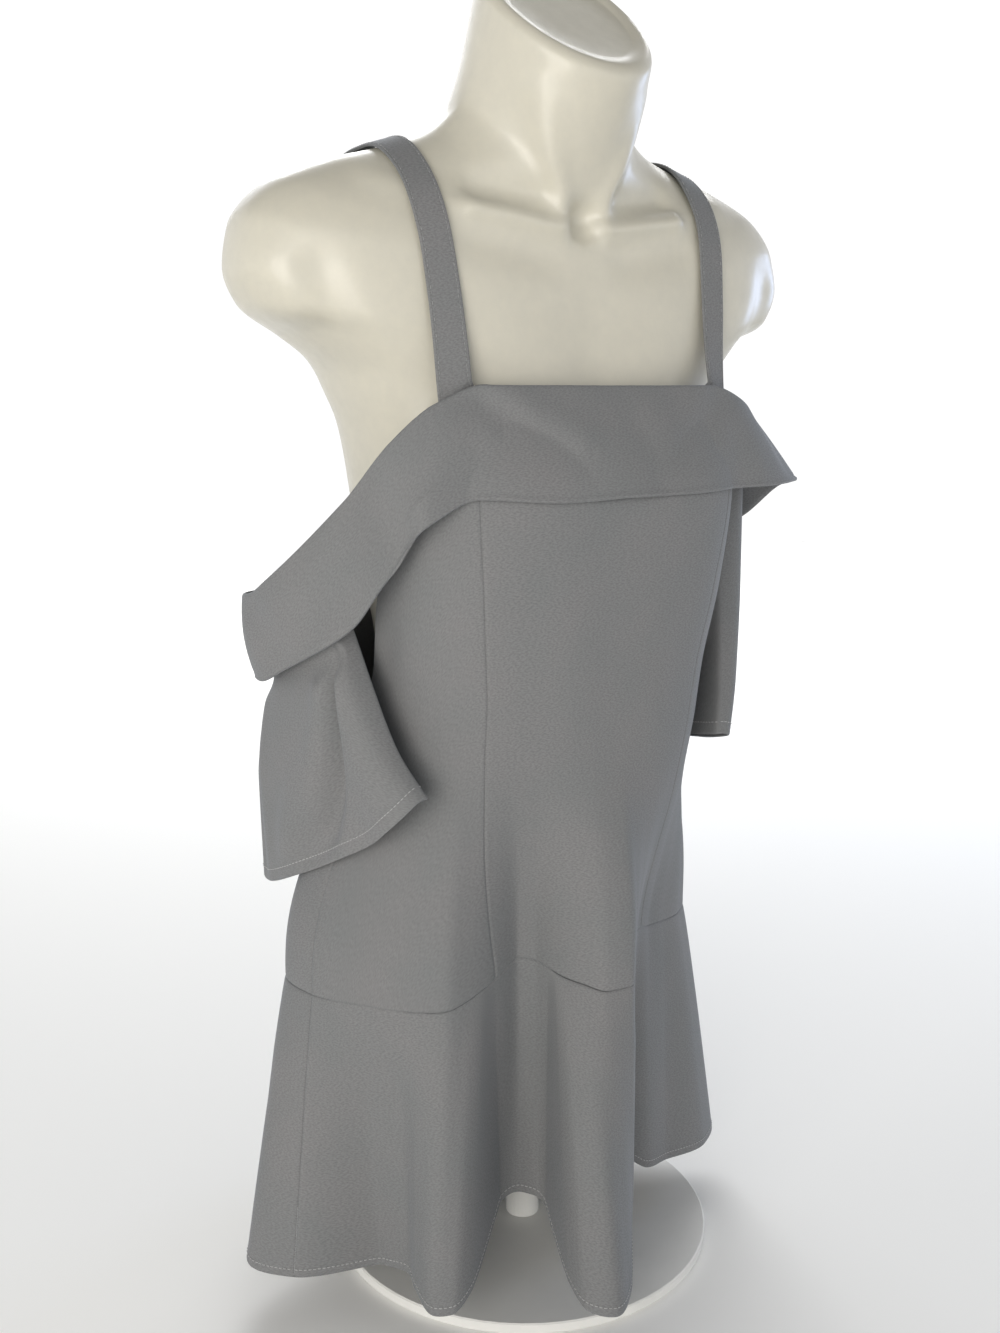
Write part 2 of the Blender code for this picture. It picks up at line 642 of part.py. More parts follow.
def build_torso():
    """Closed limbless torso with shoulder caps and a slanted neck cap."""
    columns = 36
    side, side_z, front, front_z, back, back_z, square, arch = (
        np.array(column(TORSO_RINGS, k))[:, None] for k in range(8)
    )
    turn = np.linspace(0.0, 2.0 * np.pi, columns, endpoint=False)[None, :]
    east = np.sin(turn)
    south = np.cos(turn)
    reach_x = np.sign(east) * np.abs(east) ** (2.0 / square)
    reach_y = np.sign(south) * np.abs(south) ** (2.0 / square)
    middle = 0.5 * (front + back)
    depth = 0.5 * (back - front)
    x = side * reach_x
    y = middle - depth * reach_y
    ahead = np.clip(reach_y, 0.0, None)
    behind = np.clip(-reach_y, 0.0, None)
    z = side_z + (front_z - side_z) * ahead**arch + (back_z - side_z) * behind**arch
    grid = np.stack(np.broadcast_arrays(x, y, z), axis=-1)
    rows = len(TORSO_RINGS)
    points = list(grid.reshape(-1, 3))
    faces = []
    for i in range(rows - 1):
        for j in range(columns):
            k = (j + 1) % columns
            faces.append((i * columns + j, i * columns + k, (i + 1) * columns + k, (i + 1) * columns + j))
    for row in (0, rows - 1):
        ring = [row * columns + j for j in range(columns)]
        points.append(np.mean(grid[row], axis=0))
        hub = len(points) - 1
        for j in range(columns):
            faces.append((ring[j], ring[(j + 1) % columns], hub))
    return add_object("form_torso", points, faces, FORM_COLOUR, 0.30)


def build_disc(name, radius, low, high, columns, bevel, colour, metallic):
    """Upright round body with small bevels at its rims."""
    rings = ((radius - bevel, low), (radius, low + bevel), (radius, high - bevel), (radius - bevel, high))
    turn = np.linspace(0.0, 2.0 * np.pi, columns, endpoint=False)
    points = [(size * math.sin(a), -size * math.cos(a), z) for size, z in rings for a in turn]
    faces = []
    for i in range(len(rings) - 1):
        for j in range(columns):
            k = (j + 1) % columns
            faces.append((i * columns + j, i * columns + k, (i + 1) * columns + k, (i + 1) * columns + j))
    faces.append(tuple(range(columns - 1, -1, -1)))
    faces.append(tuple(range((len(rings) - 1) * columns, len(rings) * columns)))
    return add_object(name, points, faces, colour, 0.35, metallic)


def build_stand():
    """Plain post and thin plate under the torso."""
    build_disc("form_base", BASE_RADIUS, 0.0, BASE_HEIGHT, 64, 0.001, METAL_COLOUR, 0.0)
    build_disc(
        "form_post",
        POST_RADIUS,
        BASE_HEIGHT + SEAM_GAP,
        TORSO_RINGS[0][1] - SEAM_GAP,
        24,
        0.0005,
        METAL_COLOUR,
        0.0,
    )


def main():
    """Build the form, then the dress on it."""
    clear_scene()
    torso = build_torso()
    build_stand()
    front, back = build_bodice()
    build_flounce(front, back)
    build_band()
    build_sleeves()
    build_straps(torso)


main()
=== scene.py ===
"""Grey crepe off-shoulder dress on a moulded limbless form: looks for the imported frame.

Metres throughout. The front of the dress faces -Y, its right side is at -X and the floor is z = 0.
An angle is measured about the upright axis from the front, in degrees, positive towards +X.
"""

from __future__ import annotations

import json
import logging
import math
from collections.abc import Callable, Sequence
from dataclasses import dataclass, field
from enum import Enum

import bpy
import numpy as np
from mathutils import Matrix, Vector
from mathutils.bvhtree import BVHTree

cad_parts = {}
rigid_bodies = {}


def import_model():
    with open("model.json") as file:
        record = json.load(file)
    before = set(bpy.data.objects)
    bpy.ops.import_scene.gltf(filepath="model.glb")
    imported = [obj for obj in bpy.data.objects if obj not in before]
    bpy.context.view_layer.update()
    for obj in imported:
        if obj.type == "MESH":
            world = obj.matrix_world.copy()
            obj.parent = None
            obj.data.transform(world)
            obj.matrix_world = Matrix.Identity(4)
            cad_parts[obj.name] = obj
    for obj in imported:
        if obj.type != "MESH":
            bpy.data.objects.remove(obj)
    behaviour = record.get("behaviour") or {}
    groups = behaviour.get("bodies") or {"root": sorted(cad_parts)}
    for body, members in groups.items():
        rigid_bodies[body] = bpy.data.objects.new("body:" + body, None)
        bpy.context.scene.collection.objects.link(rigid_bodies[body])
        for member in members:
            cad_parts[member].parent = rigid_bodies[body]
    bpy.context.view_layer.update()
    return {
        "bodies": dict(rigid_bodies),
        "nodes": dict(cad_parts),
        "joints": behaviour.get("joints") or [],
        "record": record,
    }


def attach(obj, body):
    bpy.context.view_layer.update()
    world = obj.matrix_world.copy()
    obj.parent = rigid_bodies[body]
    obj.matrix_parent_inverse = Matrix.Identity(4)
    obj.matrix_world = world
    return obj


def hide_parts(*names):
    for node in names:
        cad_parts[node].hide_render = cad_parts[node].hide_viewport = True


Table = tuple[tuple[float, ...], ...]
Array = np.ndarray
Object = bpy.types.Object
Material = bpy.types.Material
Socket = bpy.types.NodeSocket
Span = tuple[float, float]
Point = tuple[float, float, float]
Curve = Callable[[Array], Array]

LOG = logging.getLogger("off_shoulder_dress")
MILLIMETRE = 0.001
UP = np.array([0.0, 0.0, 1.0])
FULL_TURN = 360.0
SHARP_EDGE = 50.0
TINY = 1e-9
FINE_STEPS = (0.0, 0.0007, 0.0015, 0.0024, 0.0036)
CREASE_FADE = 0.25
TYPICAL_RADIUS = 0.13
SEAM_GAP = 0.05 * MILLIMETRE
SEAM_HALF_ANGLE = math.degrees(0.5 * SEAM_GAP / TYPICAL_RADIUS)


class Slot(Enum):
    """Material slots of the record."""

    CREPE = "crepe"
    PLASTIC = "form_plastic"
    METAL = "stand_metal"


class Held(Enum):
    """How a sheet of cloth is held."""

    STRETCHED = "stretched"
    HUNG = "hung"
    DRAPED = "draped"


class Side(Enum):
    """The wearer's right or left side, with the sign of its x."""

    RIGHT = -1.0
    LEFT = 1.0

    @property
    def word(self) -> str:
        """The side's name in lower case."""
        return self.name.lower()


# Curves and small shapes


def smooth_curve(knots: Array, values: Array, at: Array, period: float | None = None) -> Array:
    """Shape-keeping cubic through the knots, without overshoot.

    Args:
        knots: places of the known values, in order.
        values: a value at each knot.
        at: places to read.
        period: closes the curve on itself after this distance.

    Returns:
        The curve's value at each place.
    """
    if period is not None:
        knots = np.concatenate([knots[-2:] - period, knots, knots[:2] + period])
        values = np.concatenate([values[-2:], values, values[:2]])
        at = (at - knots[2]) % period + knots[2]
    if knots[0] > knots[-1]:
        knots, values = knots[::-1], values[::-1]
    step = np.diff(knots)
    slope = np.diff(values) / step
    same = slope[:-1] * slope[1:] > 0.0
    first = 2.0 * step[1:] + step[:-1]
    second = step[1:] + 2.0 * step[:-1]
    before = np.where(same, slope[:-1], 1.0)
    after = np.where(same, slope[1:], 1.0)
    inner = np.where(same, (first + second) / (first / before + second / after), 0.0)
    tangent = np.concatenate([slope[:1], inner, slope[-1:]])
    at = np.clip(at, knots[0], knots[-1])
    place = np.clip(np.searchsorted(knots, at, side="right") - 1, 0, len(step) - 1)
    width = step[place]
    t = (at - knots[place]) / width
    return (
        values[place] * (1.0 + 2.0 * t) * (1.0 - t) ** 2
        + tangent[place] * width * t * (1.0 - t) ** 2
        + values[place + 1] * t * t * (3.0 - 2.0 * t)
        + tangent[place + 1] * width * t * t * (t - 1.0)
    )


def read(table: Table | Array, at: Array, period: float | None = None) -> list[Array]:
    """Columns of a table after the first, along smooth curves at places of the first."""
    rows = np.array(table, dtype=float)
    return [smooth_curve(rows[:, 0], rows[:, k], np.asarray(at), period) for k in range(1, rows.shape[1])]


def ease(t: Array) -> Array:
    """Smooth step from 0 to 1."""
    t = np.clip(t, 0.0, 1.0)
    return t * t * (3.0 - 2.0 * t)


def bell(distance: Array, width: float) -> Array:
    """Bell curve that is 1 where the distance is 0."""
    return np.exp(-((distance / width) ** 2))


def turned(angle: Array) -> Array:
    """The same angle between -180 and 180 degrees."""
    return (angle + 180.0) % FULL_TURN - 180.0


def round_turn(count: int) -> Array:
    """Evenly spaced angles of one turn, in radians."""
    return np.linspace(0.0, 2.0 * np.pi, count, endpoint=False)


def squared(wave: Array, squareness: Array | float) -> Array:
    """A sine or cosine for a rounded rectangle: squareness 2 keeps the circle."""
    return np.sign(wave) * np.abs(wave) ** (2.0 / squareness)


def polar(radius: Array, angle: Array, height: Array) -> Array:
    """Point at an angle from the front, at a radius and a height."""
    turn = np.radians(angle)
    return np.stack(np.broadcast_arrays(radius * np.sin(turn), -radius * np.cos(turn), height), axis=-1)


def unit(vectors: Array) -> Array:
    """Vectors scaled to length 1."""
    return vectors / np.maximum(np.linalg.norm(vectors, axis=-1, keepdims=True), TINY)


def along_line(points: Array) -> Array:
    """Distance of each point of a line from its start."""
    return np.concatenate([[0.0], np.cumsum(np.linalg.norm(np.diff(points, axis=0), axis=1))])


def spaced(length: float, pitch: float, fine: Sequence[float] = FINE_STEPS) -> Array:
    """Shares from 0 to 1 along a length, close together near both ends.

    Args:
        length: the length in metres.
        pitch: distance between the shares away from the ends.
        fine: distances of the first shares from each end.

    Returns:
        Rising shares from 0 to 1.
    """
    start = np.array(fine)
    inner = np.linspace(start[-1] + pitch, length - start[-1] - pitch, max(2, int(length / pitch)))
    return np.concatenate([start, inner, length - start[::-1]]) / length


@dataclass(frozen=True)
class TurnedEdge:
    """A turned edge of cloth, which falls away by `drop` over its last `radius`."""

    radius: float
    drop: float

    def fall(self, distance: Array) -> Array:
        """How far the face falls at a distance from the edge."""
        share = np.clip(1.0 - distance / self.radius, 0.0, 1.0)
        return self.drop * (1.0 - np.sqrt(1.0 - share**2))


SEAM = TurnedEdge(0.0026, 0.0007)
HEM = TurnedEdge(0.0022, 0.0006)


def crease_depth(creases: Table, across: Array, along: Array, scale: Span) -> Array:
    """Depth of soft troughs, or ridges where it is negative, along straight lines of a surface.

    Args:
        creases: start angle and place, end angle and place, width, depth.
        across: angle of each point in degrees.
        along: place of each point down the surface.
        scale: metres to a degree, and to a unit of the place.

    Returns:
        Depth in metres at each point.
    """
    total = np.zeros(np.broadcast(across, along).shape)
    for start_across, start_along, end_across, end_along, width, depth in creases:
        dx = turned(across - start_across) * scale[0]
        dy = (along - start_along) * scale[1]
        run_x = turned(end_across - start_across) * scale[0]
        run_y = (end_along - start_along) * scale[1]
        near = np.clip((dx * run_x + dy * run_y) / math.hypot(run_x, run_y) ** 2, 0.0, 1.0)
        away = np.hypot(dx - near * run_x, dy - near * run_y)
        ends = ease(near / CREASE_FADE + 0.5) * ease((1.0 - near) / CREASE_FADE + 0.5)
        total = total + depth * ends * bell(away, width)
    return total


# Grids and meshes


def wrapped(grid: Array) -> Array:
    """A closed grid with its first column again at the end."""
    return np.concatenate([grid, grid[:, :1]], axis=1)


def grid_normals(grid: Array, closed: bool) -> Array:
    """Outward unit normals of a grid whose rows run down and whose columns run round to the left side.

    Args:
        grid: rows and columns of points.
        closed: the last column meets the first.

    Returns:
        A normal for each point.
    """
    if closed:
        across = np.roll(grid, -1, axis=1) - np.roll(grid, 1, axis=1)
    else:
        across = np.gradient(grid, axis=1)
    return unit(np.cross(np.gradient(grid, axis=0), across))


def sunk(grid: Array, closed: bool, depth: Array) -> Array:
    """A grid moved inwards along its normals by a depth at each point."""
    return grid - grid_normals(grid, closed) * depth[..., None]


def run_lengths(grid: Array, axis: int) -> Array:
    """Distance of each point of a grid from the grid's first edge, measured along an axis.

    Args:
        grid: rows and columns of points.
        axis: 0 measures down the rows, 1 along the columns.

    Returns:
        A distance for each point.
    """
    steps = np.linalg.norm(np.diff(grid, axis=axis), axis=-1)
    pad = [(0, 0), (0, 0)]
    pad[axis] = (1, 0)
    return np.cumsum(np.pad(steps, pad), axis=axis)


def edge_distance(grid: Array, axis: int) -> Array:
    """Distance of each point of a grid from the nearer of its two edges along an axis."""
    run = run_lengths(grid, axis)
    return np.minimum(run, np.take(run, [-1], axis=axis) - run)


def mesh_object(name: str, points: Array, faces: Array, uv: Array, material: Material) -> Object:
    """Make a smooth shaded mesh object with a UV map in metres.

    Args:
        name: the object's name.
        points: vertices.
        faces: four vertices a face.
        uv: a UV point for each corner of each face.
        material: its finish.

    Returns:
        The new object, linked to the scene.
    """
    corner = points[faces]
    normal = np.cross(corner[:, 2] - corner[:, 0], corner[:, 3] - corner[:, 1])
    if float(np.sum(corner.mean(axis=1) * normal)) < 0.0:
        faces, uv = faces[:, ::-1], uv[:, ::-1]
    mesh = bpy.data.meshes.new(name)
    mesh.from_pydata(points.tolist(), [], faces.tolist())
    layer = mesh.uv_layers.new(name="UVMap")
    layer.data.foreach_set("uv", np.ascontiguousarray(uv, dtype=np.float32).ravel())
    mesh.polygons.foreach_set("use_smooth", [True] * len(mesh.polygons))
    mesh.set_sharp_from_angle(angle=math.radians(SHARP_EDGE))
    mesh.materials.append(material)
    item = bpy.data.objects.new(name, mesh)
    bpy.context.scene.collection.objects.link(item)
    return item


def quad_grid(rows: int, columns: int, closed: bool) -> tuple[Array, Array]:
    """Faces of a grid, and their corners on a grid that has one column more for the UV map.

    Args:
        rows: number of rows.
        columns: number of columns.
        closed: the last column meets the first.

    Returns:
        Vertex numbers and UV numbers, four a face.
    """
    i = np.arange(rows - 1)[:, None]
    j = np.arange(columns if closed else columns - 1)[None, :]
    faces = []
    for wide, after in ((columns, (j + 1) % columns), (columns + 1, j + 1)):
        corners = (i * wide + j, i * wide + after, (i + 1) * wide + after, (i + 1) * wide + j)
        faces.append(np.stack(np.broadcast_arrays(*corners), axis=-1).reshape(-1, 4))
    return faces[0], faces[1]


def grid_uv(grid: Array, closed: bool) -> Array:
    """UV points in metres of a grid, with one column more so that a closed grid doesn't fold back.

    Args:
        grid: rows and columns of points.
        closed: the last column meets the first.

    Returns:
        UV points, row by row.
    """
    grid = wrapped(grid) if closed else np.concatenate([grid, grid[:, -1:]], axis=1)
    down = run_lengths(grid, 0)
    across = np.broadcast_to(run_lengths(grid, 1).mean(axis=0), down.shape)
    return np.stack([across, -down], axis=-1).reshape(-1, 2)


@dataclass
class ClothPiece:
    """A cut piece of cloth as a thin closed shell: `grid` is its face, and its back is `wall` behind."""

    replaces: str
    grid: Array
    wall: float
    closed: bool
    held: Held
    rests_on: tuple[str, ...]
    material: Material
    item: Object = field(init=False)

    def __post_init__(self) -> None:
        """Make the shell, let it ride, and name what it replaces."""
        rows, columns = self.grid.shape[:2]
        count = rows * columns
        wide = columns + 1
        face, mark = quad_grid(rows, columns, self.closed)
        ahead = np.arange(columns if self.closed else columns - 1)
        after = (ahead + 1) % columns
        last = (rows - 1) * columns
        low = (rows - 1) * wide + ahead
        rims = [(ahead, after, ahead, ahead + 1), (last + after, last + ahead, low + 1, low)]
        if not self.closed:
            down = np.arange(rows - 1)
            start, end = down * columns, (down + 1) * columns - 1
            left, right = down * wide, down * wide + columns - 1
            rims += [(start + columns, start, left + wide, left), (end, end + columns, right, right + wide)]
        flip = [0, 3, 2, 1]
        faces = [face, face[:, flip] + count]
        faces += [np.stack([a, a + count, b + count, b], axis=-1) for a, b, _, _ in rims]
        marks = [mark, mark[:, flip]] + [np.stack([c, c, d, d], axis=-1) for _, _, c, d in rims]
        back = sunk(self.grid, self.closed, np.full((rows, columns), self.wall))
        points = np.concatenate([self.grid.reshape(-1, 3), back.reshape(-1, 3)])
        uv = grid_uv(self.grid, self.closed)[np.concatenate(marks)]
        self.item = mesh_object("dress_" + self.replaces, points, np.concatenate(faces), uv, self.material)
        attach(self.item, "root")
        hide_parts(self.replaces)

    def declare(self, with_pieces: Sequence[Object] = ()) -> None:
        """Args:
            with_pieces: the stitches on it; not used.
        """
        grid = wrapped(self.grid) if self.closed else self.grid


# Materials


def linear(code: str) -> tuple[float, float, float, float]:
    """Linear colour of an sRGB hex value such as "8a8885"."""
    channels = [int(code[i : i + 2], 16) / 255.0 for i in (0, 2, 4)]
    return (*[c / 12.92 if c <= 0.04045 else ((c + 0.055) / 1.055) ** 2.4 for c in channels], 1.0)


@dataclass
class NodeBench:
    """A node tree while it is put together."""

    tree: bpy.types.NodeTree

    def add(self, kind: str, settings: dict[str, object] | None = None,
            inputs: dict[str | int, object] | None = None) -> bpy.types.Node:
        """Add a node with its settings and its inputs.

        Args:
            kind: the node's type name.
            settings: properties of the node.
            inputs: a value, or an output socket to link, for each input.

        Returns:
            The new node.
        """
        node = self.tree.nodes.new(kind)
        for key, value in (settings or {}).items():
            setattr(node, key, value)
        for key, value in (inputs or {}).items():
            if isinstance(value, Socket):
                self.tree.links.new(value, node.inputs[key])
            else:
                node.inputs[key].default_value = value
        return node

    def place(self, space: str) -> Socket:
        """Texture coordinates in a space."""
        return self.add("ShaderNodeTexCoord").outputs[space]

    def noise(self, size: float, detail: float = 2.0, roughness: float = 0.5) -> Socket:
        """Cloudy noise through the object, with clouds of a size in metres."""
        return self.add("ShaderNodeTexNoise", inputs={
            "Vector": self.place("Object"), "Scale": 1.0 / size, "Detail": detail, "Roughness": roughness,
        }).outputs["Fac"]

    def mix(self, share: Socket, first: object, second: object) -> Socket:
        """Blend of two colours."""
        return self.add("ShaderNodeMix", {"data_type": "RGBA"}, {0: share, 6: first, 7: second}).outputs[2]

    def remap(self, value: Socket, given: Span, wanted: Span) -> Socket:
        """Value carried from one range to another."""
        return self.add("ShaderNodeMapRange", inputs={
            "Value": value, "From Min": given[0], "From Max": given[1],
            "To Min": wanted[0], "To Max": wanted[1],
        }).outputs["Result"]

    def bump(self, height: Socket, distance: float, strength: float) -> Socket:
        """Normal of a fine relief."""
        return self.add("ShaderNodeBump", inputs={
            "Strength": strength, "Distance": distance, "Height": height,
        }).outputs["Normal"]


@dataclass(frozen=True)
class Finish:
    """A procedural material. Each kind lays its own nodes."""

    name: str

    def lay(self, bench: NodeBench) -> dict[str, object]:
        """Lay the nodes and give the shader's inputs.

        Args:
            bench: the material's node tree.

        Returns:
            A value or a socket for each input of the shader.
        """
        raise NotImplementedError

    def make(self) -> Material:
        """Build the material.

        Returns:
            The material.
        """
        material = bpy.data.materials.new(self.name)
        material.use_nodes = True
        material.node_tree.nodes.clear()
        bench = NodeBench(material.node_tree)
        shader = bench.add("ShaderNodeBsdfPrincipled", inputs=self.lay(bench))
        bench.add("ShaderNodeOutputMaterial", inputs={"Surface": shader.outputs["BSDF"]})
        return material


@dataclass(frozen=True)
class CrepeFinish(Finish):
    """Polyester crepe, woven from high-twist yarn: a matt cloth with a pebbled, faintly diagonal grain.

    The twist leaves pits, and painted shade darkens the base colour in them, so the grey looks dry and
    grainy up close; the raised yarns give a weak cool sheen where the surface turns away.
    """

    name: str = "grey_crepe"
    face: str = "817f80"
    shade: str = "737778"
    # Colour of the painted shade in the pits of the grain.
    pit_painted_shade: str = "626364"
    cool: str = "c9d3e0"
    roughness: Span = (0.86, 0.72)
    # The pebble of the real cloth is about 0.5 mm; it is drawn at 0.9 mm so that it shows.
    pebble: float = 0.9 * MILLIMETRE
    rib: float = 1.9 * MILLIMETRE
    mottle: float = 55.0 * MILLIMETRE
    grain_angle: float = 32.0
    grain_height: float = 0.16 * MILLIMETRE

    def lay(self, bench: NodeBench) -> dict[str, object]:
        """Lay the nodes and give the shader's inputs.

        Args:
            bench: the material's node tree.

        Returns:
            A value or a socket for each input of the shader.
        """
        slant = bench.add("ShaderNodeMapping", inputs={
            "Vector": bench.place("UV"), "Rotation": (0.0, 0.0, math.radians(self.grain_angle)),
            "Scale": (1.0 / self.rib, 1.0 / self.pebble, 1.0),
        })
        pebbles = bench.add("ShaderNodeTexNoise", {"noise_dimensions": "2D"}, {
            "Vector": slant.outputs["Vector"], "Scale": 1.0, "Detail": 2.0, "Roughness": 0.55,
        }).outputs["Fac"]
        wide = bench.mix(bench.noise(self.mottle, 3.0, 0.6), linear(self.shade), linear(self.face))
        # Painted shade: the base colour darkens towards the pit colour where the pebble grain is low, in
        # its hollows.
        pit_painted_shade_mask = bench.remap(pebbles, (0.62, 0.34), (0.0, 0.55))
        return {
            "Base Color": bench.mix(pit_painted_shade_mask, wide, linear(self.pit_painted_shade)),
            "Roughness": bench.remap(pebbles, (0.3, 0.7), self.roughness),
            "Specular IOR Level": 0.30,
            "IOR": 1.46,
            "Sheen Weight": 0.20,
            "Sheen Roughness": 0.45,
            "Sheen Tint": linear(self.cool),
            "Normal": bench.bump(pebbles, self.grain_height, 0.6),
        }


@dataclass(frozen=True)
class ThreadFinish(Finish):
    """Spun polyester sewing thread: short dashes with a soft shine that catch the light above the cloth."""

    colour: str
    # Colour of the painted highlight on the plies.
    shine: str = "9a9b9b"
    ply: float = 0.5 * MILLIMETRE
    ply_height: float = 0.05 * MILLIMETRE

    def lay(self, bench: NodeBench) -> dict[str, object]:
        """Lay the nodes and give the shader's inputs.

        Args:
            bench: the material's node tree.

        Returns:
            A value or a socket for each input of the shader.
        """
        twist = bench.add("ShaderNodeTexWave", inputs={
            "Vector": bench.place("Object"), "Scale": 0.3 / self.ply, "Distortion": 1.5,
        }).outputs["Fac"]
        return {
            # Painted highlight: lighter bands of the shine colour along the twist of the plies.
            "Base Color": bench.mix(twist, linear(self.colour), linear(self.shine)),
            "Roughness": 0.55,
            "IOR": 1.5,
            "Sheen Weight": 0.2,
            "Normal": bench.bump(twist, self.ply_height, 0.4),
        }


@dataclass(frozen=True)
class MouldedPlasticFinish(Finish):
    """Off-white polypropylene, blow moulded: a slightly milky, glossy skin with a faint unevenness.

    The skin cools unevenly in its mould, so highlights wander a little, and handling leaves duller patches.
    """

    name: str = "moulded_white_plastic"
    body: str = "c9c5b6"
    dull: str = "bebbaf"
    roughness: Span = (0.34, 0.45)
    wander: float = 26.0 * MILLIMETRE
    scuff: float = 9.0 * MILLIMETRE
    wander_height: float = 0.45 * MILLIMETRE

    def lay(self, bench: NodeBench) -> dict[str, object]:
        """Lay the nodes and give the shader's inputs.

        Args:
            bench: the material's node tree.

        Returns:
            A value or a socket for each input of the shader.
        """
        handling = bench.noise(self.scuff, 5.0, 0.65)
        return {
            "Base Color": bench.mix(handling, linear(self.body), linear(self.dull)),
            "Roughness": bench.remap(handling, (0.35, 0.7), self.roughness),
            "IOR": 1.49,
            "Specular IOR Level": 0.5,
            "Coat Weight": 0.25,
            "Coat Roughness": 0.18,
            "Normal": bench.bump(bench.noise(self.wander, 1.0, 0.4), self.wander_height, 0.5),
        }


@dataclass(frozen=True)
class PowderCoatFinish(Finish):
    """Mild steel, powder coated white: an even satin skin with the fine orange peel of the baked powder."""

    name: str = "white_powder_coated_steel"
    body: str = "e6e6e3"
    tired: str = "d9d9d6"
    roughness: Span = (0.37, 0.50)
    patch: float = 1.0 / 28.0
    peel: float = 1.6 * MILLIMETRE
    peel_height: float = 0.05 * MILLIMETRE

    def lay(self, bench: NodeBench) -> dict[str, object]:
        """Lay the nodes and give the shader's inputs.

        Args:
            bench: the material's node tree.

        Returns:
            A value or a socket for each input of the shader.
        """
        patches = bench.noise(self.patch, 4.0)
        return {
            "Base Color": bench.mix(patches, linear(self.body), linear(self.tired)),
            "Roughness": bench.remap(patches, (0.0, 1.0), self.roughness),
            "IOR": 1.5,
            "Normal": bench.bump(bench.noise(self.peel), self.peel_height, 0.5),
        }


@dataclass(frozen=True)
class StudioPaperFinish(Finish):
    """Matt white background paper, unrolled on the floor: an even pale sheet with a fine tooth."""

    name: str = "studio_paper"
    body: str = "f8f8f6"
    tooth: float = 1.0 / 300.0
    tooth_height: float = 0.1 * MILLIMETRE

    def lay(self, bench: NodeBench) -> dict[str, object]:
        """Lay the nodes and give the shader's inputs.

        Args:
            bench: the material's node tree.

        Returns:
            A value or a socket for each input of the shader.
        """
        skin = bench.bump(bench.noise(self.tooth), self.tooth_height, 0.15)
        return {"Base Color": linear(self.body), "Roughness": 0.9, "Normal": skin}


# The dress


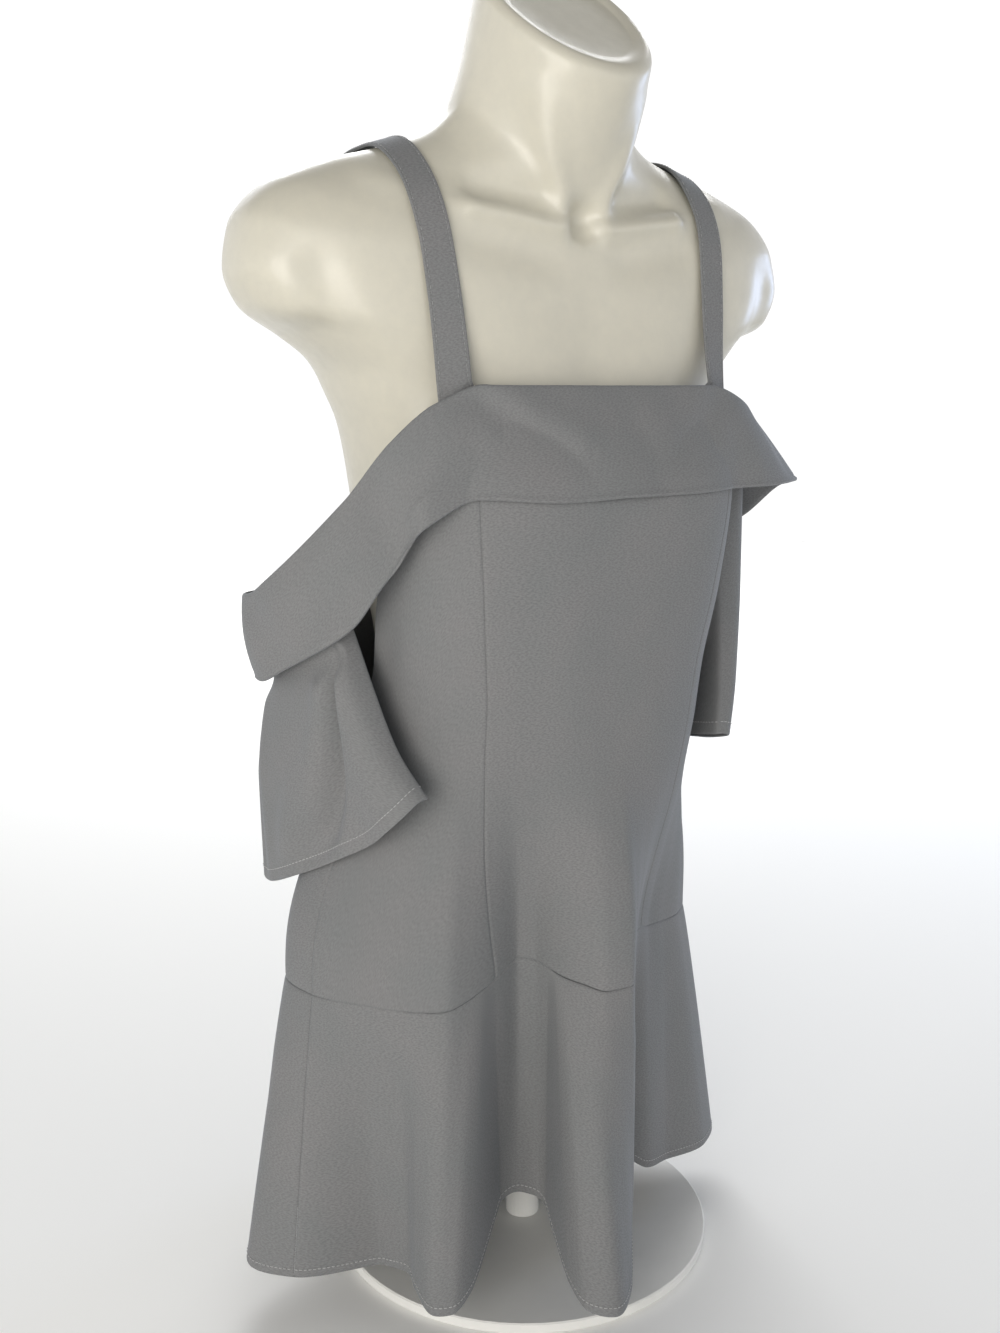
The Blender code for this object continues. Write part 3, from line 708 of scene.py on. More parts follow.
@dataclass(frozen=True)
class WornShape:
    """The dress's own shape as it hangs on the form: its outline at each level and its folds.

    levels: height, half width on the right and left, depth in front and behind, squareness.
    folds: angle, radius and height at the flounce seam, radius and height at the hem.
    top: angle from the front and height of the bodice's top edge and armholes.
    princess_seams: height, angle of the right seam, angle of the left seam.
    """

    levels: Table = (
        (0.64, 0.14, 0.14, 0.092, 0.096, 3), (0.56, 0.146, 0.134, 0.121, 0.103, 3),
        (0.5, 0.144, 0.129, 0.118, 0.101, 2.8), (0.44, 0.139, 0.12, 0.112, 0.096, 2.6),
        (0.38, 0.14, 0.117, 0.107, 0.101, 2.5), (0.32, 0.145, 0.126, 0.11, 0.11, 2.3),
        (0.24, 0.174, 0.146, 0.125, 0.126, 2.1),
    )
    folds: Table = (
        (-160, 0.12, 0.238, 0.122, 0.046), (-140, 0.142, 0.235, 0.178, 0.035),
        (-118, 0.146, 0.237, 0.142, 0.042), (-93, 0.186, 0.235, 0.222, 0.033),
        (-84, 0.183, 0.235, 0.203, 0.034), (-72, 0.17, 0.235, 0.152, 0.037),
        (-64.5, 0.162, 0.234, 0.154, 0.04), (-59, 0.157, 0.234, 0.167, 0.039),
        (-52.5, 0.15, 0.235, 0.179, 0.034), (-48.5, 0.135, 0.238, 0.175, 0.035),
        (-45.9, 0.124, 0.241, 0.154, 0.04), (-44.6, 0.118, 0.242, 0.109, 0.056),
        (-43.2, 0.112, 0.244, 0.089, 0.067), (-35, 0.09, 0.251, 0.083, 0.072),
        (-29, 0.091, 0.25, 0.087, 0.072), (-23.8, 0.098, 0.247, 0.094, 0.067),
        (-22.6, 0.1, 0.246, 0.113, 0.056), (-21.3, 0.102, 0.245, 0.147, 0.042),
        (-18.8, 0.106, 0.243, 0.169, 0.035), (-13, 0.115, 0.24, 0.178, 0.033),
        (-6, 0.124, 0.236, 0.16, 0.031), (2, 0.125, 0.236, 0.132, 0.037), (10, 0.112, 0.239, 0.112, 0.045),
        (21, 0.097, 0.245, 0.092, 0.056), (36, 0.089, 0.25, 0.074, 0.072), (50, 0.092, 0.244, 0.096, 0.05),
        (62, 0.104, 0.24, 0.112, 0.044), (75, 0.126, 0.236, 0.155, 0.037),
        (87, 0.143, 0.235, 0.178, 0.035), (106, 0.132, 0.237, 0.134, 0.045),
        (126, 0.142, 0.235, 0.176, 0.034), (150, 0.118, 0.238, 0.12, 0.05),
        (177, 0.132, 0.235, 0.166, 0.035),
    )
    top: Table = (
        (0, 0.629), (47, 0.629), (54, 0.616), (62, 0.586), (69, 0.54), (74, 0.49), (78, 0.45), (84, 0.425),
        (92, 0.416), (100, 0.425), (108, 0.45), (118, 0.482), (126, 0.508), (133, 0.543), (140, 0.583),
        (148, 0.613), (180, 0.62),
    )
    princess_seams: Table = (
        (0.64, 46, 46), (0.56, 44, 44), (0.5, 43.5, 41), (0.44, 43.5, 39), (0.4, 44.5, 39), (0.34, 45, 40),
        (0.28, 44, 39.5), (0.25, 43, 39.5),
    )
    side_seam_right: float = -84.0
    side_seam_left: float = 86.0
    back_squareness: float = 2.3
    fold_start: float = 0.412

    def folded(self, angle: Array) -> list[Array]:
        """Columns of the folds at an angle, closed round the body."""
        return read(self.folds, angle, FULL_TURN)

    def radius(self, angle: Array, height: Array) -> Array:
        """Radius of the cloth's face at an angle and a height above the flounce seam.

        Args:
            angle: angles from the front.
            height: heights above the flounce seam.

        Returns:
            A radius for each point.
        """
        right, left, front, back, square = read(self.levels, height)
        turn = np.radians(angle)
        side = np.where(np.sin(turn) < 0.0, right, left)
        depth = np.where(np.cos(turn) > 0.0, front, back)
        square = np.where(np.cos(turn) > 0.0, square, self.back_squareness)
        power = np.abs(np.sin(turn) / side) ** square + np.abs(np.cos(turn) / depth) ** square
        plain = power ** (-1.0 / square)
        seam_radius, seam_height = self.folded(angle)[:2]
        share = ease((self.fold_start - height) / (self.fold_start - seam_height))
        return plain + (seam_radius - plain) * share

    def top_edge(self, angle: Array) -> Array:
        """Height of the bodice's top edge at an angle."""
        return read(self.top, np.abs(turned(angle)))[0]

    def princess(self, side: Side, height: Array) -> Array:
        """Angle of a princess seam at a height."""
        right, left = read(self.princess_seams, height)
        return side.value * (right if side is Side.RIGHT else left)


@dataclass
class Bodice:
    """Fitted bodice: centre front, two side fronts with the armholes, and one back.

    creases: drag lines at the armholes, waist and seat; their places are heights.
    """

    shape: WornShape
    cloth: Material
    wall: float = 0.0016
    length: float = 0.39
    middle: float = 0.45
    row_pitch: float = 0.0042
    column_pitch: float = 0.0022
    edge_steps: int = 12
    crease_scale: Span = (math.radians(TYPICAL_RADIUS), 1.0)
    creases: Table = (
        (-62, 0.56, -72, 0.452, 0.0085, 0.0016), (-66, 0.5, -60, 0.42, 0.014, -0.0008),
        (61, 0.548, 71, 0.46, 0.009, 0.0014), (-80, 0.405, -55, 0.432, 0.011, 0.0009),
        (80, 0.412, 58, 0.436, 0.012, 0.001), (-30, 0.52, -33, 0.38, 0.02, 0.001),
        (-16, 0.48, -9, 0.33, 0.022, -0.0011), (24, 0.54, 31, 0.4, 0.02, 0.0011),
        (4, 0.39, -3, 0.27, 0.018, -0.001), (180, 0.56, 180, 0.41, 0.022, 0.0018),
        (150, 0.42, 120, 0.445, 0.012, 0.0012), (-150, 0.415, -118, 0.438, 0.011, 0.0011),
        (158, 0.385, 128, 0.4, 0.01, 0.0008), (-158, 0.378, -130, 0.396, 0.01, 0.0008),
        (138, 0.56, 120, 0.47, 0.012, 0.0012), (-138, 0.55, -122, 0.462, 0.012, 0.0013),
    )

    def panel(self, node: str, start: Curve, stop: Curve) -> ClothPiece:
        """Build a panel between two seams given as functions from height to angle.

        Args:
            node: the frame's node that the panel stands for.
            start: angle of the first seam at a height.
            stop: angle of the second seam at a height.

        Returns:
            The panel.
        """

        def angles(height: Array, across: Array) -> Array:
            """Angles at shares of the way across the panel at a height."""
            first = start(height) + SEAM_HALF_ANGLE
            return first + (stop(height) - SEAM_HALF_ANGLE - first) * across

        ends = angles(np.full(2, self.middle), np.array([0.0, 1.0]))
        across = spaced(math.radians(float(ends[1] - ends[0])) * TYPICAL_RADIUS, self.column_pitch)
        top = np.full_like(across, self.shape.top[0][1])
        bottom = np.full_like(across, self.shape.folds[0][2])
        for _ in range(self.edge_steps):
            top = self.shape.top_edge(angles(top, across))
            bottom = self.shape.folded(angles(bottom, across))[1]
        height = top + (bottom - top) * spaced(self.length, self.row_pitch)[:, None]
        angle = angles(height, across)
        depth = crease_depth(self.creases, angle, height, self.crease_scale)
        grid = polar(self.shape.radius(angle, height) - depth, angle, height)
        drop = np.maximum(SEAM.fall(edge_distance(grid, 1)), SEAM.fall(edge_distance(grid, 0)))
        grid = sunk(grid, False, drop)
        return ClothPiece(node, grid, self.wall, False, Held.STRETCHED, ("form_torso",), self.cloth)

    def build(self) -> list[ClothPiece]:
        """Build the four panels.

        Returns:
            The panels from the right side seam round to the back.
        """
        shape = self.shape
        seams = (
            lambda height: np.full_like(height, shape.side_seam_right),
            lambda height: shape.princess(Side.RIGHT, height),
            lambda height: shape.princess(Side.LEFT, height),
            lambda height: np.full_like(height, shape.side_seam_left),
            lambda height: np.full_like(height, FULL_TURN + shape.side_seam_right),
        )
        nodes = ("bodice_side_right", "bodice_front", "bodice_side_left", "bodice_back")
        return [self.panel(node, start, stop) for node, start, stop in zip(nodes, seams, seams[1:])]


@dataclass
class Flounce:
    """Wavy flounce under the hips, in two pieces joined at the side seams.

    creases: the soft pleats between the main folds; their places are shares from seam to hem.
    """

    shape: WornShape
    cloth: Material
    wall: float = 0.0016
    length: float = 0.21
    spread: float = 0.9
    column_pitch: float = 0.0019
    row_pitch: float = 0.0045
    even: float = 0.35
    samples: int = 2000
    pleats_rise: float = 4.0
    crease_scale: Span = (math.radians(TYPICAL_RADIUS), 0.2)
    creases: Table = (
        (-66, 0.25, -63, 1, 0.012, 0.0022), (-101, 0.35, -104, 1, 0.014, 0.002),
        (-47.5, 0.05, -49, 0.6, 0.009, -0.0012), (-9, 0.3, -5, 1, 0.012, 0.0016),
        (5, 0.15, 7, 0.85, 0.013, -0.0013), (68, 0.3, 66, 1, 0.011, 0.0018),
        (96, 0.35, 98, 1, 0.012, 0.0016), (137, 0.3, 140, 1, 0.014, 0.0019),
        (165, 0.2, 163, 1, 0.013, -0.0015), (-171, 0.3, -168, 1, 0.012, 0.0017),
        (-129, 0.3, -127, 1, 0.013, 0.0018),
    )

    def columns(self, start: float, stop: float) -> Array:
        """Angles of a piece's columns, close together on the steep sides of the folds.

        Args:
            start: angle of its first edge.
            stop: angle of its last edge.

        Returns:
            Rising angles.
        """
        fine = np.linspace(start, stop, self.samples)
        hem_radius, hem_height = self.shape.folded(fine)[2:]
        run = along_line(polar(hem_radius, fine, hem_height))
        mixed = self.even * (fine - start) / (stop - start) + (1.0 - self.even) * run / run[-1]
        return np.interp(spaced(run[-1], self.column_pitch), mixed, fine)

    def piece(self, node: str, start: float, stop: float, hangs_from: tuple[str, ...]) -> ClothPiece:
        """Build one piece of the flounce.

        Args:
            node: the frame's node that the piece stands for.
            start: angle of its first side seam.
            stop: angle of its second side seam.
            hangs_from: what it is sewn to.

        Returns:
            The piece.
        """
        angle = self.columns(start + SEAM_HALF_ANGLE, stop - SEAM_HALF_ANGLE)[None, :]
        share = spaced(self.length, self.row_pitch)[:, None]
        seam_radius, seam_height, hem_radius, hem_height = self.shape.folded(angle)
        seam_height = seam_height - SEAM_GAP
        height = seam_height + (hem_height - seam_height) * share
        radius = seam_radius + (hem_radius - seam_radius) * share**self.spread
        depth = crease_depth(self.creases, angle, share, self.crease_scale) * ease(share * self.pleats_rise)
        grid = polar(radius - depth, angle, height)
        run = run_lengths(grid, 0)
        drop = np.maximum(SEAM.fall(edge_distance(grid, 1)), SEAM.fall(run))
        grid = sunk(grid, False, np.maximum(drop, HEM.fall(run[-1:] - run)))
        return ClothPiece(node, grid, self.wall, False, Held.HUNG, hangs_from, self.cloth)

    def build(self) -> list[ClothPiece]:
        """Build the front and the back.

        Returns:
            Both pieces.
        """
        right, left = self.shape.side_seam_right, self.shape.side_seam_left
        above = ("dress_bodice_front", "dress_bodice_side_right", "dress_bodice_side_left")
        return [self.piece("flounce_front", right, left, above),
                self.piece("flounce_back", left, FULL_TURN + right, ("dress_bodice_back",))]


@dataclass
class Band:
    """Fold-over band, one doubled strip round the bodice and over both sleeves.

    stations: angle, top radius and height, lower radius and height, outward bow of the middle.
    creases: their places are shares from the top fold to the lower edge.
    """

    shape: WornShape
    cloth: Material
    wall: float = 0.0022
    frame_wall: float = 0.0024
    rest: float = 0.0013
    sleeve_gap: float = 0.0024
    columns: int = 720
    length: float = 0.08
    row_pitch: float = 0.0030
    top_fold: TurnedEdge = TurnedEdge(0.0030, 0.0016)
    edge: TurnedEdge = TurnedEdge(0.0012, 0.0008)
    bead: float = 0.0006
    bead_from_edge: float = 0.0017
    bead_width: float = 0.0011
    stitch_from_edge: float = 0.0042
    stitch_width: float = 0.0007
    stitch_depth: float = 0.0003
    crease_scale: Span = (math.radians(0.15), 0.08)
    stations: Table = (
        (-180, 0.106, 0.627, 0.121, 0.556, 0.002), (-155, 0.112, 0.625, 0.128, 0.555, 0.002),
        (-143, 0.122, 0.6, 0.136, 0.532, 0.003), (-134, 0.127, 0.55, 0.142, 0.489, 0.003),
        (-126, 0.139, 0.515, 0.154, 0.463, 0.004), (-112, 0.171, 0.5, 0.18, 0.442, 0.004),
        (-96, 0.205, 0.502, 0.196, 0.443, 0.004), (-86, 0.204, 0.516, 0.192, 0.456, 0.005),
        (-70, 0.184, 0.566, 0.176, 0.487, 0.006), (-62, 0.171, 0.6, 0.172, 0.52, 0.004),
        (-54, 0.152, 0.624, 0.168, 0.549, 0.003), (-44, 0.132, 0.635, 0.147, 0.566, 0.003),
        (-22, 0.108, 0.635, 0.13, 0.563, 0.003), (0, 0.101, 0.635, 0.127, 0.565, 0.003),
        (22, 0.108, 0.635, 0.13, 0.565, 0.003), (44, 0.132, 0.635, 0.147, 0.566, 0.003),
        (54, 0.148, 0.627, 0.17, 0.566, 0.003), (68, 0.166, 0.612, 0.201, 0.567, 0.003),
        (82, 0.174, 0.598, 0.221, 0.562, 0.003), (96, 0.176, 0.59, 0.219, 0.53, 0.004),
        (112, 0.172, 0.59, 0.198, 0.514, 0.004), (128, 0.156, 0.6, 0.172, 0.524, 0.003),
        (142, 0.134, 0.616, 0.148, 0.544, 0.003), (158, 0.112, 0.625, 0.128, 0.554, 0.002),
    )
    creases: Table = (
        (-50, 0.02, -20, 0.78, 0.01, 0.0034), (-43, 0, -12, 0.5, 0.013, -0.0022),
        (-66, 0.1, -60, 1, 0.009, 0.005), (-55, 0.7, -54, 1, 0.008, -0.0034),
        (-73, 0.2, -80, 1, 0.014, -0.0026), (-92, 0.15, -84, 0.95, 0.012, 0.0026),
        (47, 0.02, 24, 0.72, 0.011, 0.0028), (4, 0.25, 14, 0.95, 0.016, 0.0014),
        (62, 0.05, 66, 0.9, 0.01, 0.0026), (100, 0.1, 106, 1, 0.013, 0.0022),
        (140, 0.05, 152, 0.85, 0.011, 0.0017), (-142, 0.1, -154, 0.9, 0.011, 0.0018),
        (-118, 0.15, -112, 0.95, 0.012, 0.0018), (172, 0, -176, 0.8, 0.014, 0.0014),
    )

    def at(self, angle: Array) -> list[Array]:
        """Columns of the stations at an angle, closed round the body."""
        return read(self.stations, angle, FULL_TURN)

    @staticmethod
    def face_radius(station: Sequence[Array], share: Array) -> Array:
        """Radius of the band's face at a share of the way down."""
        top_radius, _, low_radius, _, bow = station
        return top_radius + (low_radius - top_radius) * share + bow * 4.0 * share * (1.0 - share)

    def inner_radius(self, angle: Array, height: Array) -> Array:
        """Radius that leaves a sleeve free inside the band at an angle and a height.

        Args:
            angle: angles from the front.
            height: heights.

        Returns:
            A radius for each point.
        """
        station = self.at(angle)
        top_radius, top_height, low_radius, low_height, _ = station
        share = np.clip((height - top_height) / (low_height - top_height), 0.0, 1.0)
        slant = np.hypot(low_radius - top_radius, low_height - top_height) / (top_height - low_height)
        return self.face_radius(station, share) - (self.frame_wall + self.sleeve_gap) * slant

    def build(self) -> ClothPiece:
        """Build the band.

        Returns:
            The band.
        """
        angle = np.linspace(-180.0, 180.0, self.columns + 1)[None, :-1]
        share = spaced(self.length, self.row_pitch)[:, None]
        station = self.at(angle)
        height = station[1] + (station[3] - station[1]) * share
        depth = crease_depth(self.creases, angle, share, self.crease_scale)
        seated = self.shape.radius(angle, height) + self.rest + self.frame_wall
        grid = polar(np.maximum(self.face_radius(station, share) - depth, seated), angle, height)
        run = run_lengths(grid, 0)
        from_edge = run[-1:] - run
        drop = np.maximum(self.top_fold.fall(run), self.edge.fall(from_edge))
        drop = drop - self.bead * bell(from_edge - self.bead_from_edge, self.bead_width)
        drop = drop + self.stitch_depth * bell(from_edge - self.stitch_from_edge, self.stitch_width)
        return ClothPiece("band", sunk(grid, True, drop), self.wall, True, Held.DRAPED,
                          ("dress_bodice_front", "dress_bodice_back"), self.cloth)


@dataclass
class Sleeve:
    """Bell sleeve, hung from the band and the underarm.

    levels: front fold x, y, z; back fold x, y, z; outward bulge and its lift; inward bulge and its
    lift; depth of the soft fold in the outer side. A row for each ring from the top to the hem.
    creases: turn round the sleeve, and shares from its top to its hem.
    """

    side: Side
    levels: Table
    creases: Table
    shape: WornShape
    band: Band
    cloth: Material
    wall: float = 0.0014
    columns: int = 200
    rows: int = 84
    length: float = 0.12
    squareness: float = 3.2
    fold_turn: float = 68.0
    fold_width: float = 18.0
    seat_depth: float = 0.35
    hold_gain: float = 1.6
    hold_from: float = 0.4
    cover: float = 0.015
    freedom: float = 0.030
    loosen: float = 0.045
    blend: float = 0.005
    hem_band_gap: float = 0.0060
    seam: float = 0.0009
    body_gap: float = 0.0035
    reach_steps: int = 8
    crease_scale: Span = (0.0012, 0.12)

    def reach(self, radius_at: Callable[[Array, Array], Array], grid: Array) -> Array:
        """Distance from the middle plane to a surface given by its radius.

        Args:
            radius_at: the surface's radius at an angle and a height.
            grid: points whose y and height are kept.

        Returns:
            The surface's distance at each y and height.
        """
        away, y, height = np.abs(grid[..., 0]), grid[..., 1], grid[..., 2]
        for _ in range(self.reach_steps):
            angle = np.degrees(np.arctan2(self.side.value * away, -y))
            away = np.sqrt(np.maximum(radius_at(angle, height) ** 2 - y**2, self.wall**2))
        return away

    def seat(self, grid: Array, wave: Array, share: Array) -> Array:
        """Move the sleeve's top to the band's inner face outside and to the armhole's edge inside.

        Args:
            grid: rings of the free sleeve.
            wave: 1 at the outer side of a ring and -1 at its inner side.
            share: 0 at the top ring and 1 at the hem.

        Returns:
            The seated rings.
        """
        x, y, height = grid[..., 0], grid[..., 1], grid[..., 2]
        near_top = ease(1.0 - share / self.seat_depth)[:, None]
        above_edge = height - self.band.at(np.degrees(np.arctan2(x, -y)))[3]
        under_band = ease(wave * self.hold_gain - self.hold_from) * near_top * ease(above_edge / self.cover)
        under_arm = ease(-wave * self.hold_gain - self.hold_from) * near_top
        band = self.reach(self.band.inner_radius, grid) - self.hem_band_gap * (1.0 - near_top)
        body = self.reach(self.shape.radius, grid) + self.seam
        away = self.side.value * x
        moved = away + (band - away) * under_band + (body - away) * under_arm
        limit = band + self.freedom * ease(-above_edge / self.loosen)
        inside = 0.5 * (moved + limit - np.hypot(moved - limit, self.blend))
        clear = np.maximum(inside, body + self.body_gap * (1.0 - near_top))
        return np.stack([self.side.value * clear, y, height], axis=-1)

    def build(self) -> ClothPiece:
        """Build the sleeve.

        Returns:
            The sleeve.
        """
        share = spaced(self.length, self.length / self.rows)
        steps = np.linspace(0.0, 1.0, len(self.levels))
        levels = read(np.column_stack([steps, self.levels]), share)
        front, back = np.stack(levels[:3], axis=-1), np.stack(levels[3:6], axis=-1)
        out, out_lift, inn, in_lift, dip = (values[:, None] for values in levels[6:])
        turn = round_turn(self.columns)
        wave = squared(np.sin(turn), self.squareness)
        along = squared(np.cos(turn), self.squareness)
        reach = 0.5 * (front - back)[:, None, :]
        normal = np.cross(unit(reach), UP)
        normal = unit(normal) * self.side.value * np.sign(normal[..., :1])
        bulge = np.clip(wave, 0.0, None) * out - np.clip(-wave, 0.0, None) * inn
        fold = bell(np.degrees(turn) - self.fold_turn, self.fold_width) * dip
        soft = crease_depth(self.creases, np.degrees(turn), share[:, None], self.crease_scale)
        grid = 0.5 * (front + back)[:, None, :] + reach * along[:, None]
        grid = grid + normal * (bulge - fold - soft)[..., None]
        wave = np.sin(turn)
        grid[..., 2] += np.clip(wave, 0.0, None) * out_lift + np.clip(-wave, 0.0, None) * in_lift
        grid = self.seat(grid, wave, share)
        if self.side is Side.RIGHT:
            grid = grid[:, ::-1]
        run = run_lengths(grid, 0)
        grid = sunk(grid, True, HEM.fall(run[-1:] - run))
        holders = ("dress_band", "dress_bodice_side_" + self.side.word)
        return ClothPiece("sleeve_" + self.side.word, grid, self.wall, True, Held.HUNG, holders, self.cloth)


@dataclass
class Strap:
    """Shoulder strap: a doubled strip from the front neckline over the shoulder to the back neckline.

    line: distance from the middle, y and height of its centre.
    """

    side: Side
    shape: WornShape
    cloth: Material
    wall: float = 0.0018
    behind: float = 0.0020
    stand_off: float = 0.0032
    width: float = 0.022
    tuck: float = 0.010
    neckline_gap: float = 0.0042
    release: float = 0.03
    rows: int = 200
    inner_columns: int = 13
    fine_steps: tuple[float, ...] = (0.0, 0.0006, 0.0013, 0.0021)
    smoothing: int = 9
    shoulder_from: float = 0.700
    shoulder_blend: float = 0.050
    edge: TurnedEdge = TurnedEdge(0.0018, 0.0008)
    stitch_inset: float = 0.0026
    stitch_depth: float = 0.00035
    stitch_width: float = 0.0008
    line: Table = (
        (0.1045, -0.078, 0.65), (0.1068, -0.0695, 0.702), (0.1095, -0.0475, 0.748), (0.111, -0.017, 0.778),
        (0.1095, 0.012, 0.787), (0.1055, 0.04, 0.775), (0.0985, 0.069, 0.736), (0.091, 0.082, 0.69),
        (0.081, 0.087, 0.645),
    )

    def path(self) -> Array:
        """Centre line, tucked behind the neckline in front and at the back.

        Returns:
            Points from the front end to the back end.
        """
        ends = []
        for away, y, _ in (self.line[0], self.line[-1]):
            angle = np.degrees(np.arctan2(away, -y))
            low = float(self.shape.top_edge(angle)) - self.tuck
            pair = []
            for height in (low, low + self.tuck * 0.5, low + self.tuck):
                radius = float(self.shape.radius(angle, height)) - self.behind
                pair.append((away, math.copysign(math.sqrt(radius**2 - away**2), y), height))
            ends.append(pair)
        points = np.array(ends[0] + list(self.line) + ends[1][::-1])
        length = along_line(points)
        at = np.linspace(0.0, length[-1], self.rows)
        path = np.stack(read(np.column_stack([length, points]), at), axis=-1)
        return path * np.array([self.side.value, 1.0, 1.0])

    def tucked(self, point: Array) -> Array:
        """A strap's point, kept behind the bodice where the bodice covers it.

        Args:
            point: the point of the free strap.

        Returns:
            The point, moved inwards where it has to be.
        """
        angle = np.degrees(np.arctan2(point[0], -point[1]))
        free = self.release * float(ease((point[2] - self.shape.top_edge(angle)) / self.release))
        limit = float(self.shape.radius(angle, point[2])) - self.neckline_gap + free
        return polar(min(float(np.hypot(point[0], point[1])), limit), angle, point[2])

    def calm(self, values: Array) -> Array:
        """Values along the strap, smoothed.

        Args:
            values: a value for each row of the strap.

        Returns:
            The smoothed values.
        """
        window = np.hanning(2 * self.smoothing + 3)[1:-1]
        padded = np.pad(values, self.smoothing, mode="edge")
        return np.convolve(padded, window / window.sum(), mode="valid")

    def calm_line(self, line: Array) -> Array:
        """A line of points or vectors along the strap, smoothed."""
        return np.stack([self.calm(line[:, k]) for k in range(3)], axis=-1)

    @staticmethod
    def above(point: Array, skin: BVHTree) -> float:
        """Distance of a point above the form, less than 0 inside it."""
        near, facing, _, _ = skin.find_nearest(Vector(point))
        return float(np.dot(point - np.array(near), np.array(facing)))

    def laid(self, path: Array, skin: BVHTree) -> tuple[Array, Array, Array]:
        """Lay the centre line on the shoulder and find how the strap faces along it.

        Args:
            path: the centre line.
            skin: the form's surface.

        Returns:
            The laid line, and unit vectors across and up from the strap at each of its points.
        """
        near = [skin.find_nearest(Vector(point))[:2] for point in path]
        seat = np.array([np.array(place) + np.array(facing) * self.stand_off for place, facing in near])
        inside = np.array([self.above(point, skin) for point in path]) < self.stand_off
        on_shoulder = ease((path[:, 2] - self.shoulder_from) / self.shoulder_blend)
        path = path + (seat - path) * self.calm(np.where(inside, 1.0, on_shoulder))[:, None]
        path[1:-1] = self.calm_line(path)[1:-1]
        ahead = unit(np.gradient(path, axis=0))
        facing = np.array([skin.find_nearest(Vector(point))[1] for point in path])
        across = unit(self.calm_line(np.cross(facing, ahead)))
        return path, across, unit(np.cross(ahead, across))

    def build(self, skin: BVHTree) -> ClothPiece:
        """Build the strap clear of the form.

        Args:
            skin: the form's surface.

        Returns:
            The strap.
        """
        path, across, up = self.laid(self.path(), skin)
        share = spaced(self.width, self.width / self.inner_columns, self.fine_steps)
        grid = np.zeros((len(path), len(share), 3))
        raised = np.zeros(len(path))
        for i, point in enumerate(path):
            for j, offset in enumerate(share - 0.5):
                grid[i, j] = self.tucked(point + across[i] * self.width * offset)
                raised[i] = max(raised[i], self.stand_off - self.above(grid[i, j], skin))
        peaks = np.max([np.roll(raised, k) for k in range(-self.smoothing, self.smoothing + 1)], axis=0)
        grid = grid + up[:, None, :] * self.calm(peaks)[:, None, None]
        inset = edge_distance(grid, 1)
        groove = self.stitch_depth * bell(inset - self.stitch_inset, self.stitch_width)
        grid = sunk(grid, False, self.edge.fall(inset) + groove)
        return ClothPiece("strap_" + self.side.word, grid, self.wall, False, Held.STRETCHED, ("form_skin",),
                          self.cloth)


@dataclass
class Stitching:
    """Rows of machine stitches: short rounded dashes that sit in the cloth's face.

    profile: place along a stitch and thickness there, as shares of its length and width.
    caps: faces that close both ends of a stitch.
    """

    material: Material
    pitch: float = 0.0032
    length: float = 0.0023
    width: float = 0.00062
    lift: float = 0.00008
    crown: float = 0.0002
    sides: int = 6
    ahead: float = 0.001
    profile: Table = ((-0.5, 0.25), (-0.36, 0.8), (0.0, 1.0), (0.36, 0.8), (0.5, 0.25))
    caps: tuple[tuple[int, ...], ...] = ((0, 1, 2, 3), (3, 4, 5, 0), (27, 26, 25, 24), (24, 29, 28, 27))

    @staticmethod
    def inset_line(grid: Array, normals: Array, distance: float) -> tuple[Array, Array]:
        """Line on a grid at a distance from its first row.

        Args:
            grid: rows of points; the first row is the edge.
            normals: a normal for each point.
            distance: distance from the edge along each column.

        Returns:
            The line's points and normals.
        """
        run = run_lengths(grid, 0)
        index = np.clip((run < distance).sum(axis=0), 1, len(grid) - 1)
        columns = np.arange(grid.shape[1])
        low, high = run[index - 1, columns], run[index, columns]
        t = ((distance - low) / np.maximum(high - low, TINY))[:, None]
        points = grid[index - 1, columns] * (1.0 - t) + grid[index, columns] * t
        return points, unit(normals[index - 1, columns] * (1.0 - t) + normals[index, columns] * t)

    def frames(self, line: Array, normals: Array) -> tuple[Array, Array]:
        """Places of the stitches of a line, and the directions along, across and up at each.

        Args:
            line: points of the line.
            normals: a normal for each point.

        Returns:
            A point and three unit vectors for each stitch.
        """
        run = along_line(line)
        at = np.arange(self.pitch * 0.5, run[-1] - self.pitch * 0.25, self.pitch)

        def read_at(place: Array, values: Array) -> Array:
            """Points or vectors of the line at distances from its start."""
            return np.stack([np.interp(place, run, values[:, k]) for k in range(3)], axis=-1)

        up = unit(read_at(at, normals))
        along = unit(read_at(at + self.ahead, line) - read_at(at - self.ahead, line))
        across = unit(np.cross(up, along))
        places = read_at(at, line) + up * self.lift
        return places, np.stack([along, across, np.cross(along, across)], axis=1)

    def sew(self, piece: ClothPiece, word: str, lines: Sequence[tuple[Array, Array]]) -> Object:
        """Lay stitches along lines of a piece.

        Args:
            piece: the piece that is stitched.
            word: what the stitches hold.
            lines: points and normals of each line.

        Returns:
            The stitches as one object.
        """
        half = self.width * 0.5
        base = np.array([(along * self.length, math.sin(a) * size * half, math.cos(a) * size * half)
                         for along, size in self.profile for a in round_turn(self.sides)])
        base[:, 2] += (1.0 - (base[:, 0] / (0.5 * self.length)) ** 2) * self.crown
        faces, _ = quad_grid(len(self.profile), self.sides, True)
        faces = np.concatenate([faces, np.array(self.caps)])
        made = [self.frames(line, normals) for line, normals in lines]
        cloud = np.concatenate([at[:, None] + np.einsum("vk,skd->svd", base, frame) for at, frame in made])
        shift = (np.arange(len(cloud)) * len(base))[:, None, None]
        faces = (faces[None] + shift).reshape(-1, 4)
        name = word + "_stitches_" + piece.replaces
        item = mesh_object(name, cloud.reshape(-1, 3), faces, np.zeros((len(faces), 4, 2)), self.material)
        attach(item, "root")
        LOG.info("%s: %d stitches on %s", name, len(cloud), piece.item.name)
        return item


# The form


